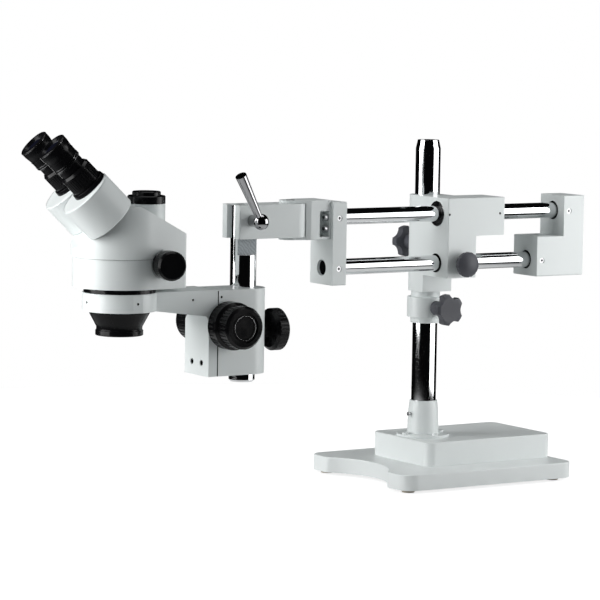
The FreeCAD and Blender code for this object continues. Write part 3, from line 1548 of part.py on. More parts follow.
def make_prism_housing(name, side):
    """A cup whose top carries the eyepiece tube. Its open end stands on the head's slanted face."""
    radius, high, wall = size("prism_radius"), size("prism_height"), size("prism_wall")
    foot, inner = size("face_gap"), radius - wall
    profile = [(inner, foot), (radius, foot), (radius, high - 1.2), (radius - 1.2, high), (0, high),
               (0, high - wall),
               (inner, high - wall)]
    body = turned(name + "_prism_housing", profile, tube_place(side))
    cross_hole(body, "XY_Plane", size("eye_offset"), 0, size("light_radius"), high - wall, wall)
    return body


def make_prism_mount(name, side):
    """The plate that closes the housing, with the hollow spigot it swivels on."""
    foot, swivel = size("face_gap"), -size("swivel_offset")
    body = new_body(name + "_prism_mount", tube_place(side))
    sketch = new_sketch(body, "XY_Plane", foot)
    draw_circle(sketch, 0, 0, size("prism_radius") - size("prism_wall") - fit)
    pad(body, sketch, size("prism_plate_thick"))
    sketch = new_sketch(body, "XY_Plane", -size("spigot_length"))
    draw_circle(sketch, swivel, 0, size("swivel_radius"))
    pad(body, sketch, size("spigot_length") + foot)
    cross_hole(body, "XY_Plane", swivel, 0, size("light_radius"), -size("spigot_length"),
               size("spigot_length") + foot + size("prism_plate_thick"))
    return body


def make_prism(name, side):
    """A rhomboid prism, which moves the light sideways from the swivel's axis to the eyepiece's."""
    body = new_body(name + "_prism", tube_place(side))
    half = size("prism_face") / 2
    low = size("face_gap") + size("prism_plate_thick")
    high = low + size("prism_face")
    enter, leave = -size("swivel_offset"), size("eye_offset")
    sketch = new_sketch(body, "XZ_Plane", -half)
    draw_outline(sketch, [(enter - half, low), (leave - half, low), (leave + half, high),
                          (enter + half, high)])
    pad(body, sketch, size("prism_face"))
    return body


def make_eyetube(name, side):
    radius, high, bore = size("eyetube_radius"), size("eyetube_height"), size("eyetube_bore")
    profile = [(bore, 0), (radius + 0.6, 0), (radius + 0.6, 1.5), (radius, high), (bore, high)]
    return turned(name + "_eyetube", profile, tube_place(side, size("eye_offset"), size("prism_height")))


def make_diopter_ring(name, side):
    radius, high, bore = size("diopter_radius"), size("diopter_height"), size("eyetube_bore") + 0.2
    profile = [(bore, 0), (radius - 1, 0), (radius, 1), (radius, high - 3), (radius - 2, high), (bore, high)]
    start = size("prism_height") + size("eyetube_height") + size("face_gap")
    body = turned(name + "_diopter_ring", profile, tube_place(side, size("eye_offset"), start))
    sketch = new_sketch(body, "XY_Plane", 3)
    draw_circle(sketch, radius + 0.3, 0, 0.9)
    pattern(body, pocket(body, sketch, high - 8), size("diopter_ridges"))
    return body


def make_eyepiece(name, side):
    waist, radius, high = size("eyepiece_waist"), size("eyepiece_radius"), size("eyepiece_height")
    cup, lens = size("eyecup_height"), size("eye_lens_radius")
    barrel = size("eyetube_bore") - fit
    low = -size("eyetube_height") - size("diopter_height") - size("face_gap")
    profile = [(0, low), (barrel, low), (barrel, 0), (waist, 0), (waist, 8), (waist + 1.5, 10),
               (waist + 1.5, high - cup - 8), (radius, high - cup),
               (radius, high - 1), (radius - 1, high), (lens + 1.5, high), (lens, high - 3), (0, high - 3)]
    start = size("prism_height") + size("eyetube_height") + size("diopter_height") + size("face_gap") * 2
    return turned(name + "_eyepiece", profile, tube_place(side, size("eye_offset"), start))


def make_binocular_tubes():
    pieces = []
    for name, side in (("right", -1), ("left", 1)):
        pieces.append(make_prism_housing(name, side))
        pieces.append(make_prism_mount(name, side))
        pieces.append(make_prism(name, side))
        pieces.append(make_eyetube(name, side))
        pieces.append(make_diopter_ring(name, side))
        pieces.append(make_eyepiece(name, side))
    return pieces


def make_all():
    pieces = [make_base_casting(), make_rubber_feet(), make_pillar(), make_pillar_bolt(),
              make_pillar_sleeve(), make_flange_screws(), make_sleeve_screw(), make_stop_collar(),
              make_collar_knob()]
    pieces += [make_carriage(), make_linear_bearings(), make_bearing_screws(), make_carriage_knob(),
               make_rod_lock_knob()]
    pieces += [make_boom_rods(), make_front_rod_plate(), make_rear_rod_block(), make_rod_set_screws(),
               make_hinge_bracket(), make_bracket_screws(), make_hinge_pin()]
    pieces += [make_swing_arm(), make_post(), make_clamp_lever()]
    pieces += [make_focus_holder(), make_holder_screw(), make_clamp_knob(), make_focus_bushes(),
               make_pinion_shaft(), make_tension_collar()] + make_focus_knobs()
    pieces += [make_dovetail_rail(), make_focus_rack(), make_focus_slide(), make_slide_screws(),
               make_ring_arm(), make_ring_screws()]
    pieces += [make_head_mount(), make_objective_cone(), make_objective_lens(), make_lower_head_body(),
               make_upper_head_body(), make_zoom_shaft()] + make_zoom_knobs()
    pieces += [make_camera_tube(), make_camera_cap()] + make_binocular_tubes()
    return pieces


def move_to_frame(pieces):
    """Put the origin under the middle of the whole."""
    shift = at(size("origin_x"), size("origin_y"), 0)
    for piece in pieces:
        piece.Placement = shift.multiply(piece.Placement)


def check_document():
    """Stop if any feature failed, or if a cut took nothing away."""
    for item in document.Objects:
        if "Invalid" in item.State or "Error" in item.State:
            raise RuntimeError(f"{item.Name} failed: {item.State}")
        if item.TypeId == "PartDesign::Pocket" and item.BaseFeature is not None:
            if item.Shape.Volume > item.BaseFeature.Shape.Volume - 0.01:
                raise RuntimeError(f"{item.Name} cut nothing")


def write_parts(pieces):
    os.makedirs("parts", exist_ok=True)
    for piece in pieces:
        if piece.Shape.isNull() or not piece.Shape.isValid():
            raise RuntimeError(f"{piece.Label} has no sound shape")
    for piece in pieces:
        piece.Shape.exportStep(f"parts/{piece.Label}.step")
    print(len(pieces), "pieces,", sum(len(piece.Shape.Solids) for piece in pieces), "solids")


all_pieces = make_all()
move_to_frame(all_pieces)
document.recompute()
check_document()
write_parts(all_pieces)
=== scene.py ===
import bmesh
import bpy
import json
import math
from mathutils import Matrix, Vector


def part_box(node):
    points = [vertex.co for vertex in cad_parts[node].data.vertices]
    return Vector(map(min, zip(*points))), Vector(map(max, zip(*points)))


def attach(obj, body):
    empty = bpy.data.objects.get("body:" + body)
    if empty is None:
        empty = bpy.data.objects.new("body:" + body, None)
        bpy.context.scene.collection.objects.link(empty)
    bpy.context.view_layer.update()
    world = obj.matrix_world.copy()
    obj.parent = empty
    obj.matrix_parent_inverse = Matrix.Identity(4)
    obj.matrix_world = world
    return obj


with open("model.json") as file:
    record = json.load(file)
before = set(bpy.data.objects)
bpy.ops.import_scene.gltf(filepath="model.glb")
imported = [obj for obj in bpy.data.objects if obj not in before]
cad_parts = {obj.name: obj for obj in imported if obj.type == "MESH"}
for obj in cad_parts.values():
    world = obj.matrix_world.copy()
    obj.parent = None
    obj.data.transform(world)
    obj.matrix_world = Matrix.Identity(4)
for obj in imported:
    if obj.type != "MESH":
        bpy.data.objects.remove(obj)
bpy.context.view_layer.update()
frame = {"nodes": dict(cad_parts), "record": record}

MM = 0.001
SCENE = bpy.context.scene
NODES = frame["nodes"]


# Places, in millimetres from the foot of the pillar's axis

STAND = Matrix.Translation((202.725, 13.25, 0.0))
ROD_Y = -53.0
LOWER_ROD, UPPER_ROD = 282.9, 345.4
CARRIAGE_FRONT, LOWER_REAR, UPPER_REAR = -22.5, 22.5, 66.0
LOWER_RECESS, UPPER_RECESS = 120.9, 162.9
HEAD = Matrix.Translation((-482.5, ROD_Y, 0.0)) @ Matrix.Rotation(math.radians(-11.5), 4, "Z")
ZOOM_KNOB = (40.0, 300.2)
DIAL_RADIUS, DIAL_HEIGHT = 17.34, 55.0
SEAM = 306.7
POST_RADIUS, FLAT_DEPTH, FLAT_BOTTOM = 16.0, 7.5, 303.4
EYE_OFFSET, EYEPIECE_FOOT = 9.7, 75.4
TUBE_TILT = Matrix.Rotation(math.radians(-45.0), 4, "Y")


def tube_frame(side):
    """The frame of a viewing tube: Z runs up the tube and X up the slanted face."""
    return HEAD @ Matrix.Translation((-24.0, side * 35.5, 352.2)) @ TUBE_TILT


# Materials


class Nodes:
    """A material's node tree with short calls for the nodes used here."""

    def __init__(self, name):
        self.material = bpy.data.materials.new(name)
        self.material.use_nodes = True
        self.tree = self.material.node_tree
        self.tree.nodes.clear()
        self.output = self.tree.nodes.new("ShaderNodeOutputMaterial")
        self.shader = self.tree.nodes.new("ShaderNodeBsdfPrincipled")
        self.tree.links.new(self.shader.outputs["BSDF"], self.output.inputs["Surface"])
        self.place = self.tree.nodes.new("ShaderNodeTexCoord").outputs["Object"]

    def add(self, kind, **values):
        node = self.tree.nodes.new("ShaderNode" + kind)
        for key, value in values.items():
            setattr(node, key, value)
        return node

    def join(self, source, target):
        self.tree.links.new(source, target)

    def noise(self, scale, detail=2.0, roughness=0.5):
        node = self.add("TexNoise")
        node.inputs["Scale"].default_value = scale
        node.inputs["Detail"].default_value = detail
        node.inputs["Roughness"].default_value = roughness
        self.join(self.place, node.inputs["Vector"])
        return node.outputs["Fac"]

    def spread(self, value, low, high):
        """Map 0.35..0.65 of a noise to low..high."""
        node = self.add("MapRange")
        node.inputs["From Min"].default_value = 0.35
        node.inputs["From Max"].default_value = 0.65
        node.inputs["To Min"].default_value = low
        node.inputs["To Max"].default_value = high
        self.join(value, node.inputs["Value"])
        return node.outputs["Result"]

    def blend(self, value, first, second):
        node = self.add("Mix", data_type="RGBA")
        node.inputs["A"].default_value = (*first, 1.0)
        node.inputs["B"].default_value = (*second, 1.0)
        self.join(value, node.inputs["Factor"])
        return node.outputs["Result"]

    def bump(self, height, strength, distance):
        node = self.add("Bump")
        node.inputs["Strength"].default_value = strength
        node.inputs["Distance"].default_value = distance
        self.join(height, node.inputs["Height"])
        self.join(node.outputs["Normal"], self.shader.inputs["Normal"])

    def edges(self, radius):
        """0 on open faces and up to 1 along worn edges."""
        bevel = self.add("Bevel", samples=4)
        bevel.inputs["Radius"].default_value = radius
        geometry = self.add("NewGeometry")
        dot = self.add("VectorMath", operation="DOT_PRODUCT")
        self.join(bevel.outputs["Normal"], dot.inputs[0])
        self.join(geometry.outputs["Normal"], dot.inputs[1])
        node = self.add("MapRange")
        node.inputs["From Min"].default_value = 0.995
        node.inputs["From Max"].default_value = 0.9
        self.join(dot.outputs["Value"], node.inputs["Value"])
        return node.outputs["Result"]

    def set(self, **values):
        for key, value in values.items():
            self.shader.inputs[key.replace("_", " ")].default_value = value


def enamel(name, light, dark, roughness):
    """Stoved enamel: a faint mottle, fine orange peel and a clear gloss."""
    nodes = Nodes(name)
    nodes.join(nodes.blend(nodes.spread(nodes.noise(9.0, 4.0), 0.0, 1.0), dark, light),
               nodes.shader.inputs["Base Color"])
    nodes.join(nodes.spread(nodes.noise(40.0, 3.0), roughness - 0.02, roughness + 0.05),
               nodes.shader.inputs["Roughness"])
    nodes.bump(nodes.noise(1100.0, 1.5), 0.1, 0.0001)
    nodes.set(IOR=1.5)
    return nodes.material


def plated(name, colour, roughness, grain):
    """Polished or turned metal with faint lines and smudges."""
    nodes = Nodes(name)
    nodes.set(Metallic=1.0)
    smudge = nodes.noise(22.0, 4.0, 0.6)
    darker = tuple(channel * 0.9 for channel in colour)
    nodes.join(nodes.blend(smudge, colour, darker), nodes.shader.inputs["Base Color"])
    nodes.join(nodes.spread(smudge, roughness, roughness * 1.7), nodes.shader.inputs["Roughness"])
    nodes.bump(nodes.noise(grain, 2.0), 0.05, 0.00008)
    return nodes.material


def sawn(name):
    """A milled flat that was never plated: matte grey with faint diagonal tool marks."""
    nodes = Nodes(name)
    marks = nodes.add("TexWave", wave_type="BANDS", bands_direction="DIAGONAL")
    for socket, value in (("Scale", 130.0), ("Distortion", 6.0), ("Detail", 3.0), ("Detail Scale", 1.5)):
        marks.inputs[socket].default_value = value
    nodes.join(nodes.place, marks.inputs["Vector"])
    nodes.join(nodes.blend(marks.outputs["Fac"], (0.3, 0.33, 0.35), (0.42, 0.46, 0.48)),
               nodes.shader.inputs["Base Color"])
    nodes.join(nodes.spread(nodes.noise(300.0), 0.5, 0.62), nodes.shader.inputs["Roughness"])
    nodes.bump(marks.outputs["Fac"], 0.1, 0.00005)
    nodes.set(Metallic=0.25)
    return nodes.material


def moulded(name, colour, roughness, grain, depth, metallic=0.0, shine=0.5):
    """Moulded plastic or anodised alloy with a fine spark-eroded grain and slightly paler edges."""
    nodes = Nodes(name)
    uneven = tuple(channel * 1.3 for channel in colour)
    paler = tuple(channel * 1.6 + 0.004 for channel in colour)
    worn = nodes.add("Mix", data_type="RGBA")
    nodes.join(nodes.blend(nodes.noise(30.0, 3.0), colour, uneven), worn.inputs["A"])
    worn.inputs["B"].default_value = (*paler, 1.0)
    nodes.join(nodes.edges(0.0005), worn.inputs["Factor"])
    nodes.join(worn.outputs["Result"], nodes.shader.inputs["Base Color"])
    nodes.join(nodes.spread(nodes.noise(80.0), roughness - 0.03, roughness + 0.06),
               nodes.shader.inputs["Roughness"])
    nodes.bump(nodes.noise(grain, 2.0), depth, 0.0001)
    nodes.set(Metallic=metallic, IOR=1.48, Specular_IOR_Level=shine)
    return nodes.material


def printed(name, colour):
    """Screen print: slightly uneven, thin ink."""
    nodes = Nodes(name)
    nodes.join(nodes.blend(nodes.noise(700.0), colour, tuple(c * 0.85 for c in colour)),
               nodes.shader.inputs["Base Color"])
    nodes.set(Roughness=0.5)
    return nodes.material


def lens(name):
    """Coated glass over a dark barrel."""
    nodes = Nodes(name)
    nodes.join(nodes.blend(nodes.noise(20.0, 1.0), (0.006, 0.009, 0.013), (0.012, 0.008, 0.016)),
               nodes.shader.inputs["Base Color"])
    nodes.join(nodes.spread(nodes.noise(50.0), 0.01, 0.04), nodes.shader.inputs["Roughness"])
    nodes.set(IOR=1.7, Coat_Weight=1.0, Coat_Roughness=0.01)
    nodes.shader.inputs["Coat Tint"].default_value = (0.72, 0.8, 1.0, 1.0)
    return nodes.material


MATERIALS = {
    "base_enamel": enamel("base_enamel", (0.81, 0.845, 0.84), (0.79, 0.825, 0.82), 0.34),
    "white_enamel": enamel("white_enamel", (0.80, 0.84, 0.835), (0.785, 0.825, 0.82), 0.32),
    "chromed_steel": plated("chromed_steel", (0.82, 0.83, 0.84), 0.045, 300.0),
    "bright_steel": plated("bright_steel", (0.56, 0.56, 0.57), 0.15, 900.0),
    "black_oxide": moulded("black_oxide", (0.012, 0.012, 0.013), 0.32, 1200.0, 0.1, 0.6),
    "black_alloy": moulded("black_alloy", (0.004, 0.004, 0.0045), 0.17, 1600.0, 0.03, shine=0.16),
    "black_plastic": moulded("black_plastic", (0.004, 0.004, 0.0045), 0.19, 1400.0, 0.05, shine=0.22),
    "matte_plastic": moulded("matte_plastic", (0.062, 0.064, 0.075), 0.5, 1200.0, 0.4),
    "dark_chrome": plated("dark_chrome", (0.4, 0.4, 0.41), 0.05, 300.0),
    "sawn_steel": sawn("sawn_steel"),
    "turned_edge": plated("turned_edge", (0.46, 0.46, 0.47), 0.14, 900.0),
    "bronze": plated("bronze", (0.5, 0.33, 0.14), 0.3, 700.0),
    "beige_rubber": moulded("beige_rubber", (0.5, 0.45, 0.37), 0.7, 500.0, 0.5),
    "coated_glass": lens("coated_glass"),
    "print_white": printed("print_white", (0.7, 0.7, 0.7)),
}

# Nodes whose look differs from the rest of their slot
LOOKS = {
    "collar_knob": "matte_plastic", "carriage_knob": "matte_plastic", "rod_lock_knob": "matte_plastic",
    "rod_set_screws": "bright_steel", "bracket_screws": "bright_steel", "sleeve_screw": "bright_steel",
    "flange_screws": "base_enamel", "clamp_lever": "dark_chrome",
}

# Rounding of the castings' edges, in millimetres. The rest have 0.4.
ROUNDING = {
    "base_casting": 1.6, "upper_head_body": 1.4, "lower_head_body": 0.8, "right_prism_housing": 2.0,
    "left_prism_housing": 2.0, "pillar_sleeve": 0.8, "stop_collar": 0.8, "carriage": 0.7, "focus_slide": 0.7,
    "focus_holder": 0.6, "ring_arm": 0.6, "swing_arm": 0.6, "front_rod_plate": 0.6, "rear_rod_block": 0.6,
    "camera_cap": 0.8,
}


def finish_nodes():
    """Give every CAD node its material, soften its edges and shade it smooth."""
    for part in frame["record"]["subparts"]:
        name = part["node"]
        node = NODES[name]
        node.data.materials.clear()
        node.data.materials.append(MATERIALS[LOOKS.get(name, part["material_slot"])])
        weld = node.modifiers.new("weld", "WELD")
        weld.merge_threshold = 0.000002
        bevel = node.modifiers.new("soft_edges", "BEVEL")
        bevel.width = ROUNDING.get(name, 0.4) * MM
        bevel.segments = 3
        bevel.limit_method = "ANGLE"
        bevel.angle_limit = math.radians(32.0)
        bevel.use_clamp_overlap = True
        normals = node.modifiers.new("face_normals", "WEIGHTED_NORMAL")
        normals.keep_sharp = True


# Detail pieces

AXIS_X = Matrix.Rotation(math.radians(90.0), 4, "Y")
AXIS_BACK_X = Matrix.Rotation(math.radians(-90.0), 4, "Y")
AXIS_BACK_Y = Matrix.Rotation(math.radians(90.0), 4, "X")
AXIS_Y = Matrix.Rotation(math.radians(-90.0), 4, "X")


def moved(x, y, z, turn=None):
    return Matrix.Translation((x, y, z)) @ (turn or Matrix())


def add_piece(name, shape, body, slot, place=None, smooth=35.0, bevel=0.0, look=None):
    """Turn a shape built in millimetres into a piece that rides on a body."""
    mesh = bpy.data.meshes.new(name)
    bmesh.ops.transform(shape, matrix=Matrix.Scale(MM, 4) @ STAND @ (place or Matrix()), verts=shape.verts)
    bmesh.ops.recalc_face_normals(shape, faces=shape.faces)
    shape.to_mesh(mesh)
    shape.free()
    mesh.materials.append(MATERIALS[look or slot])
    piece = bpy.data.objects.new(name, mesh)
    SCENE.collection.objects.link(piece)
    for face in mesh.polygons:
        face.use_smooth = True
    mesh.set_sharp_from_angle(angle=math.radians(smooth))
    if bevel:
        rounding = piece.modifiers.new("rounding", "BEVEL")
        rounding.width = bevel * MM
        rounding.segments = 2
        rounding.limit_method = "ANGLE"
    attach(piece, body)
    return piece


def join_rows(shape, rows):
    """Faces between each closed row of points and the next, and from the last row to the first."""
    for first, second in zip(rows, rows[1:] + rows[:1]):
        for spot in range(len(first)):
            after = (spot + 1) % len(first)
            shape.faces.new((first[spot], first[after], second[after], second[spot]))


def turned(profile, steps=96, wave=None):
    """A closed profile of (radius, height) turned round Z. wave gives each point a new radius."""
    shape = bmesh.new()
    rows = []
    for step in range(steps):
        angle = 2.0 * math.pi * step / steps
        row = []
        for radius, height in profile:
            reach = wave(angle, radius, height) if wave else radius
            row.append(shape.verts.new((reach * math.cos(angle), reach * math.sin(angle), height)))
        rows.append(row)
    join_rows(shape, rows)
    return shape


def dome(radius, rise, low, steps=64, rings=10):
    """A lens or cap: a flat disc at the height low with a crown of that rise."""
    sphere = (radius * radius + rise * rise) / (2.0 * rise)
    shape = bmesh.new()
    rows = []
    for ring in range(rings):
        reach = radius * (rings - ring) / rings
        height = low + rise - sphere + math.sqrt(sphere * sphere - reach * reach)
        rows.append([shape.verts.new((reach * math.cos(2.0 * math.pi * step / steps),
                                      reach * math.sin(2.0 * math.pi * step / steps), height))
                     for step in range(steps)])
    top = shape.verts.new((0.0, 0.0, low + rise))
    shape.faces.new(list(reversed(rows[0])))
    for first, second in zip(rows, rows[1:]):
        for step in range(steps):
            after = (step + 1) % steps
            shape.faces.new((first[step], first[after], second[after], second[step]))
    for step in range(steps):
        shape.faces.new((rows[-1][step], rows[-1][(step + 1) % steps], top))
    return shape


def add_bearing_seals():
    """Wipers in both mouths of the upper bore, and a dark liner round the lower rod."""
    profile = [(10.3, 0.0), (15.2, 0.0), (15.2, 0.45), (14.2, 0.9), (12.6, 0.35), (11.2, 0.9), (10.3, 0.6)]
    for name, x, turn in (("front_seal", CARRIAGE_FRONT, AXIS_BACK_X), ("rear_seal", UPPER_REAR, AXIS_X)):
        add_piece(name, turned(profile), "carriage", "black_plastic", moved(x, ROD_Y, UPPER_ROD, turn))
    liner = [(10.2, -6.0), (10.9, -6.0), (10.9, 0.0), (12.0, 0.25), (12.0, 0.5), (10.4, 0.5), (10.2, 0.2)]
    for name, x, turn in (("front_liner", CARRIAGE_FRONT, AXIS_BACK_X), ("rear_liner", LOWER_REAR, AXIS_X)):
        add_piece(name, turned(liner), "carriage", "black_plastic", moved(x, ROD_Y, LOWER_ROD, turn))


def add_rod_collars():
    """Dark rings at the bottom of the rear block's recesses."""
    profile = [(10.15, 0.0), (11.9, 0.0), (11.9, 0.7), (11.2, 1.2), (10.15, 0.9)]
    for name, x, z in (("lower_collar", LOWER_RECESS, LOWER_ROD), ("upper_collar", UPPER_RECESS, UPPER_ROD)):
        add_piece(name, turned(profile), "boom", "black_plastic", moved(x, ROD_Y, z, AXIS_BACK_X))


def add_eyepiece_trim(name, side):
    """The lip, the turned rings and the eye lens of one eyepiece."""
    body = name + "_tube"
    place = tube_frame(side) @ moved(EYE_OFFSET, 0.0, EYEPIECE_FOOT)
    lip = [(17.4, 36.6), (18.8, 36.2), (19.2, 36.9), (19.1, 37.9), (18.3, 38.5), (16.2, 38.2), (15.0, 37.8),
           (15.6, 37.2)]
    add_piece(name + "_eyecup", turned(lip), body, "black_plastic", place, 60.0)
    for number, (radius, height, look) in enumerate((
            (18.35, 10.2, "turned_edge"), (18.35, 12.8, "turned_edge"), (18.3, 20.6, "black_alloy"),
            (19.4, 36.4, "turned_edge"))):
        inner = radius - 0.6
        band = [(inner, height), (radius, height + 0.2), (radius, height + 0.9), (inner, height + 1.1)]
        add_piece(f"{name}_band_{number}", turned(band), body, "black_alloy", place, look=look)
    add_piece(name + "_eye_lens", dome(12.0, 2.0, 35.55), body, "coated_glass", place, 60.0)


def add_zoom_trim(name, side):
    """The finger grip and the dial's plain numbers on one zoom knob."""
    place = HEAD @ moved(ZOOM_KNOB[0], 0.0, ZOOM_KNOB[1], AXIS_BACK_Y if side < 0 else AXIS_Y)

    def scallop(angle, radius, height):
        if radius < 17.4:
            return radius
        return radius + 0.22 * (abs(math.cos(angle * 22.0)) - 0.5)

    grip = [(17.0, 61.5), (17.55, 61.9), (17.55, 73.0), (17.1, 73.6), (16.9, 73.6), (16.9, 61.5)]
    add_piece(name + "_zoom_grip", turned(grip, 528, scallop), "zoom", "black_plastic", place)
    for number, words in enumerate(("0.7", "1", "1.5", "2", "2.5", "3", "3.5", "4", "4.5")):
        angle = math.radians(-110.0 + number * 30.0)
        add_number(f"{name}_zoom_number_{number}", words, place, angle)


def add_number(name, words, place, angle):
    """A plain number printed round the dial of a zoom knob."""
    curve = bpy.data.curves.new(name + "_source", "FONT")
    curve.body = words
    curve.size = 4.0
    curve.align_x = "CENTER"
    curve.align_y = "CENTER"
    source = bpy.data.objects.new(name + "_source", curve)
    SCENE.collection.objects.link(source)
    bpy.context.view_layer.update()
    mesh = bpy.data.meshes.new_from_object(source.evaluated_get(bpy.context.evaluated_depsgraph_get()))
    shape = bmesh.new()
    shape.from_mesh(mesh)
    bpy.data.objects.remove(source)
    bpy.data.curves.remove(curve)
    bpy.data.meshes.remove(mesh)
    bmesh.ops.triangulate(shape, faces=shape.faces)
    for vertex in shape.verts:
        turn = angle + vertex.co.x / DIAL_RADIUS
        height = DIAL_HEIGHT + vertex.co.y
        vertex.co = Vector((DIAL_RADIUS * math.cos(turn), DIAL_RADIUS * math.sin(turn), height))
    add_piece(name, shape, "zoom", "white_enamel", place, look="print_white")


def block(low, high):
    """A box between two corners in millimetres of the common frame."""
    shape = bmesh.new()
    bmesh.ops.create_cube(shape, size=1.0)
    middle, wide = (Vector(low) + Vector(high)) / 2.0, Vector(high) - Vector(low)
    place = Matrix.Translation(middle) @ Matrix.Diagonal((*wide, 1.0))
    bmesh.ops.transform(shape, matrix=place, verts=shape.verts)
    return shape


def corners(name):
    """A node's lowest and highest corners in millimetres of the common frame."""
    return [Vector(corner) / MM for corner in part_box(name)]


def add_focus_trim():
    """The bare flat of the post, the wipers along the dovetail and the turned grooves of the focus knobs."""
    here = STAND.inverted()
    low, high = corners("post")
    flat = low.y + FLAT_DEPTH
    wide = math.sqrt(POST_RADIUS ** 2 - (POST_RADIUS - FLAT_DEPTH) ** 2) - 0.25
    middle = (low.x + high.x) / 2.0
    face = block((middle - wide, flat - 0.12, FLAT_BOTTOM), (middle + wide, flat + 0.4, high.z - 3.3))
    add_piece("post_flat", face, "post", "chromed_steel", here, look="sawn_steel")
    low, high = corners("focus_holder")
    for name, start, end in (("right", low.y - 0.12, low.y + 0.9), ("left", high.y - 0.9, high.y + 0.12)):
        wiper = block((low.x - 0.42, start, low.z + 0.4), (low.x + 0.85, end, high.z - 0.4))
        add_piece(name + "_wiper", wiper, "holder", "black_plastic", here)
    groove = [(14.2, -0.2), (14.35, 0.16), (14.9, 0.16), (15.05, -0.2)]
    for name, side, turn in (("right", 0, AXIS_BACK_Y), ("left", 1, AXIS_Y)):
        ends = corners(name + "_focus_knob")
        middle = (ends[0] + ends[1]) / 2.0
        place = here @ moved(middle.x, ends[side].y, middle.z, turn)
        add_piece(name + "_knob_groove", turned(groove), "pinion", "black_plastic", place, look="turned_edge")


def outline_at(name, height):
    """The outer line of a CAD node at a height, as a closed row of points in metres."""
    shape = bmesh.new()
    shape.from_mesh(NODES[name].data)
    bmesh.ops.remove_doubles(shape, verts=shape.verts, dist=0.00001)
    bmesh.ops.bisect_plane(shape, geom=shape.verts[:] + shape.edges[:] + shape.faces[:],
                           plane_co=(0.0, 0.0, height * MM), plane_no=(0.0, 0.0, 1.0),
                           clear_inner=True, clear_outer=True)
    rows = []
    done = set()
    for start in shape.verts:
        row = []
        front = [start]
        while front and front[0] not in done:
            done.add(front[0])
            row.append(front[0].co.copy())
            around = [edge.other_vert(front[0]) for edge in front[0].link_edges]
            front = [other for other in around if other not in done]
        if row:
            rows.append(row)
    shape.free()
    return max(rows, key=lambda row: max(point.x for point in row) - min(point.x for point in row))


def add_painted_seam_shade():
    """A thin black band round the lower shell at the joint between the head's two shells: painted shade
    standing in for the shadow under the upper shell's edge.
    """
    row = outline_at("lower_head_body", SEAM - 3.0)
    middle = sum(row, Vector((0.0, 0.0, 0.0))) / len(row)
    outward = []
    for spot in range(len(row)):
        along = row[(spot + 1) % len(row)] - row[spot - 1]
        outward.append(Vector((along.y, -along.x, 0.0)).normalized())
    if sum((point - middle).dot(out) for point, out in zip(row, outward)) < 0.0:
        outward = [-out for out in outward]
    shape = bmesh.new()
    rows = []
    for point, out in zip(row, outward):
        rows.append([])
        for reach, rise in ((-1.2, -0.5), (0.14, -0.5), (0.14, 0.35), (-1.2, 0.35)):
            spot = point + out * reach * MM
            rows[-1].append(shape.verts.new((spot.x, spot.y, (SEAM + rise) * MM)))
    join_rows(shape, rows)
    from_metres = (Matrix.Scale(MM, 4) @ STAND).inverted()
    # This black band is painted shade: it darkens the joint the way a shadow would.
    add_piece("painted_seam_shade", shape, "head", "black_plastic", from_metres)


def add_details():
    add_painted_seam_shade()
    add_focus_trim()
    add_bearing_seals()
    add_rod_collars()
    for name, side in (("right", -1), ("left", 1)):
        add_eyepiece_trim(name, side)
        add_zoom_trim(name, side)


# Studio


AMBIENT = (0.1, 0.107, 0.11)
ROOM = (0.002, 0.002, 0.0022)
WHITE = (1.0, 1.0, 1.0)
BACKDROP_WAY = (0.495, 0.76, -0.423)
FLOOR_RADIUS = 1.05


def mix_colours(tree, factor, first, second):
    node = tree.nodes.new("ShaderNodeMix")
    node.data_type = "RGBA"
    for socket, colour in (("A", first), ("B", second)):
        if isinstance(colour, tuple):
            node.inputs[socket].default_value = (*colour, 1.0)
        else:
            tree.links.new(colour, node.inputs[socket])
    tree.links.new(factor, node.inputs["Factor"])
    return node.outputs["Result"]


def add_world():
    """A white backdrop behind the object, for mirrors too, a dark room round it and an even cool light."""
    world = bpy.data.worlds.new("studio")
    SCENE.world = world
    world.use_nodes = True
    tree = world.node_tree
    path = tree.nodes.new("ShaderNodeLightPath")
    way = tree.nodes.new("ShaderNodeVectorMath")
    way.operation = "DOT_PRODUCT"
    way.inputs[1].default_value = BACKDROP_WAY
    tree.links.new(tree.nodes.new("ShaderNodeTexCoord").outputs["Generated"], way.inputs[0])
    behind = tree.nodes.new("ShaderNodeMapRange")
    behind.interpolation_type = "SMOOTHSTEP"
    behind.inputs["From Min"].default_value = 0.9
    behind.inputs["From Max"].default_value = 0.94
    tree.links.new(way.outputs["Value"], behind.inputs["Value"])
    mirrored = tree.nodes.new("ShaderNodeMath")
    mirrored.operation = "MAXIMUM"
    tree.links.new(path.outputs["Is Glossy Ray"], mirrored.inputs[0])
    tree.links.new(path.outputs["Is Transmission Ray"], mirrored.inputs[1])
    shown = mix_colours(tree, behind.outputs["Result"], ROOM, WHITE)
    room = mix_colours(tree, mirrored.outputs["Value"], AMBIENT, shown)
    colour = mix_colours(tree, path.outputs["Is Camera Ray"], room, WHITE)
    tree.links.new(colour, tree.nodes["Background"].inputs["Color"])


def add_softbox(name, place, aim, size, power):
    """A rectangular lamp that only mirrors see. Places are in metres from the pillar's foot."""
    foot = STAND.translation * MM
    data = bpy.data.lights.new(name, "AREA")
    data.shape = "RECTANGLE"
    data.size, data.size_y = size
    data.energy = power
    lamp = bpy.data.objects.new(name, data)
    SCENE.collection.objects.link(lamp)
    lamp.location = Vector(place) + foot
    lamp.rotation_euler = (Vector(aim) - Vector(place)).to_track_quat("-Z", "Y").to_euler()
    lamp.visible_camera = False


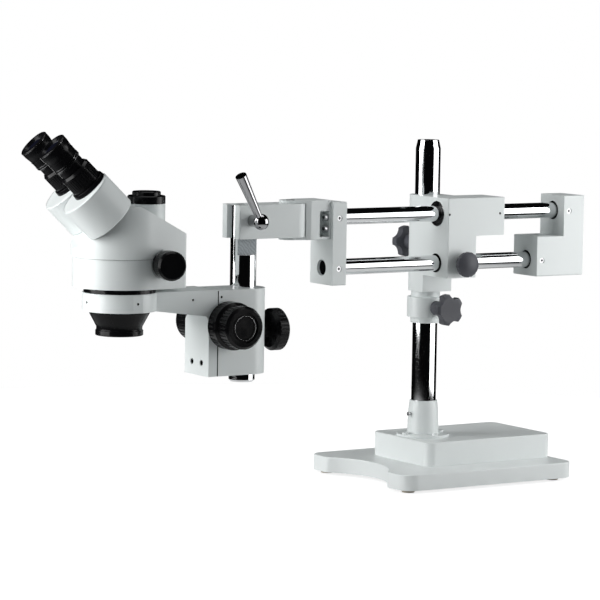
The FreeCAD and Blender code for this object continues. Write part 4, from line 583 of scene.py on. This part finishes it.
def add_camera():
    """The photo's view, as fitted to its straight edges."""
    data = bpy.data.cameras.new("camera")
    data.sensor_width = 36.0
    data.lens = 191.365
    data.clip_end = 50.0
    camera = bpy.data.objects.new("camera", data)
    SCENE.collection.objects.link(camera)
    right = Vector((0.838502, -0.544676, 0.01557))
    up = Vector((0.040217, 0.090358, 0.995097))
    back = -Vector((0.543412, 0.833765, -0.097671))
    turn = Matrix((right, up, back)).transposed().to_4x4()
    place = STAND @ Vector((-2361.42, -3328.327, 627.632))
    camera.matrix_world = Matrix.Translation(place * MM) @ turn
    SCENE.camera = camera


def add_floor():
    """A pale table that takes the object's shadow. It fades to white at its rim, and to dark in mirrors."""
    mesh = bpy.data.meshes.new("floor")
    shape = bmesh.new()
    bmesh.ops.create_circle(shape, cap_ends=True, segments=96, radius=FLOOR_RADIUS)
    shape.to_mesh(mesh)
    shape.free()
    floor = bpy.data.objects.new("floor", mesh)
    floor.location.z = -0.0002
    SCENE.collection.objects.link(floor)
    nodes = Nodes("floor")
    reach = nodes.add("VectorMath", operation="LENGTH")
    nodes.join(nodes.place, reach.inputs[0])

    def ramp(start, end, low, high):
        node = nodes.add("MapRange", interpolation_type="SMOOTHSTEP")
        for socket, value in (("From Min", start), ("From Max", end), ("To Min", low), ("To Max", high)):
            node.inputs[socket].default_value = value
        nodes.join(reach.outputs["Value"], node.inputs["Value"])
        return node.outputs["Result"]

    def product(first, second):
        node = nodes.add("Math", operation="MULTIPLY")
        nodes.join(first, node.inputs[0])
        nodes.join(second, node.inputs[1])
        return node.outputs["Value"]

    path = nodes.add("LightPath")
    pale = nodes.blend(nodes.noise(3.0), (0.5, 0.505, 0.505), (0.52, 0.525, 0.525))
    dark = product(path.outputs["Is Glossy Ray"], ramp(0.45, 0.75, 0.0, 1.0))
    nodes.join(mix_colours(nodes.tree, dark, pale, ROOM), nodes.shader.inputs["Base Color"])
    nodes.set(Roughness=0.9, Specular_IOR_Level=0.0)
    seen = product(path.outputs["Is Camera Ray"], ramp(0.45, FLOOR_RADIUS - 0.05, 0.8, 1.0))
    mirrored = nodes.add("Math", operation="MULTIPLY_ADD")
    nodes.join(path.outputs["Is Glossy Ray"], mirrored.inputs[0])
    nodes.join(ramp(0.4, 0.7, 0.3, 0.0), mirrored.inputs[1])
    nodes.join(seen, mirrored.inputs[2])
    glow = nodes.add("Emission")
    nodes.join(mirrored.outputs["Value"], glow.inputs["Strength"])
    both = nodes.add("AddShader")
    nodes.join(nodes.shader.outputs["BSDF"], both.inputs[0])
    nodes.join(glow.outputs["Emission"], both.inputs[1])
    nodes.join(both.outputs["Shader"], nodes.output.inputs["Surface"])
    mesh.materials.append(nodes.material)


finish_nodes()
add_details()
add_world()
add_floor()
add_softbox("right_softbox", (0.78, -0.74, 0.48), (0.0, 0.0, 0.45), (1.08, 1.1), 9.6)
add_softbox("right_tube", (0.76, -0.72, 0.5), (0.0, 0.0, 0.45), (0.13, 0.9), 1.1)
add_softbox("left_softbox", (-1.66, 0.30, 0.63), (0.0, 0.0, 0.5), (1.3, 1.25), 27.0)
add_softbox("top_softbox", (-0.1, 0.15, 2.6), (-0.1, 0.0, 0.1), (2.0, 1.6), 17.0)
add_camera()
SCENE.view_settings.view_transform = "Standard"
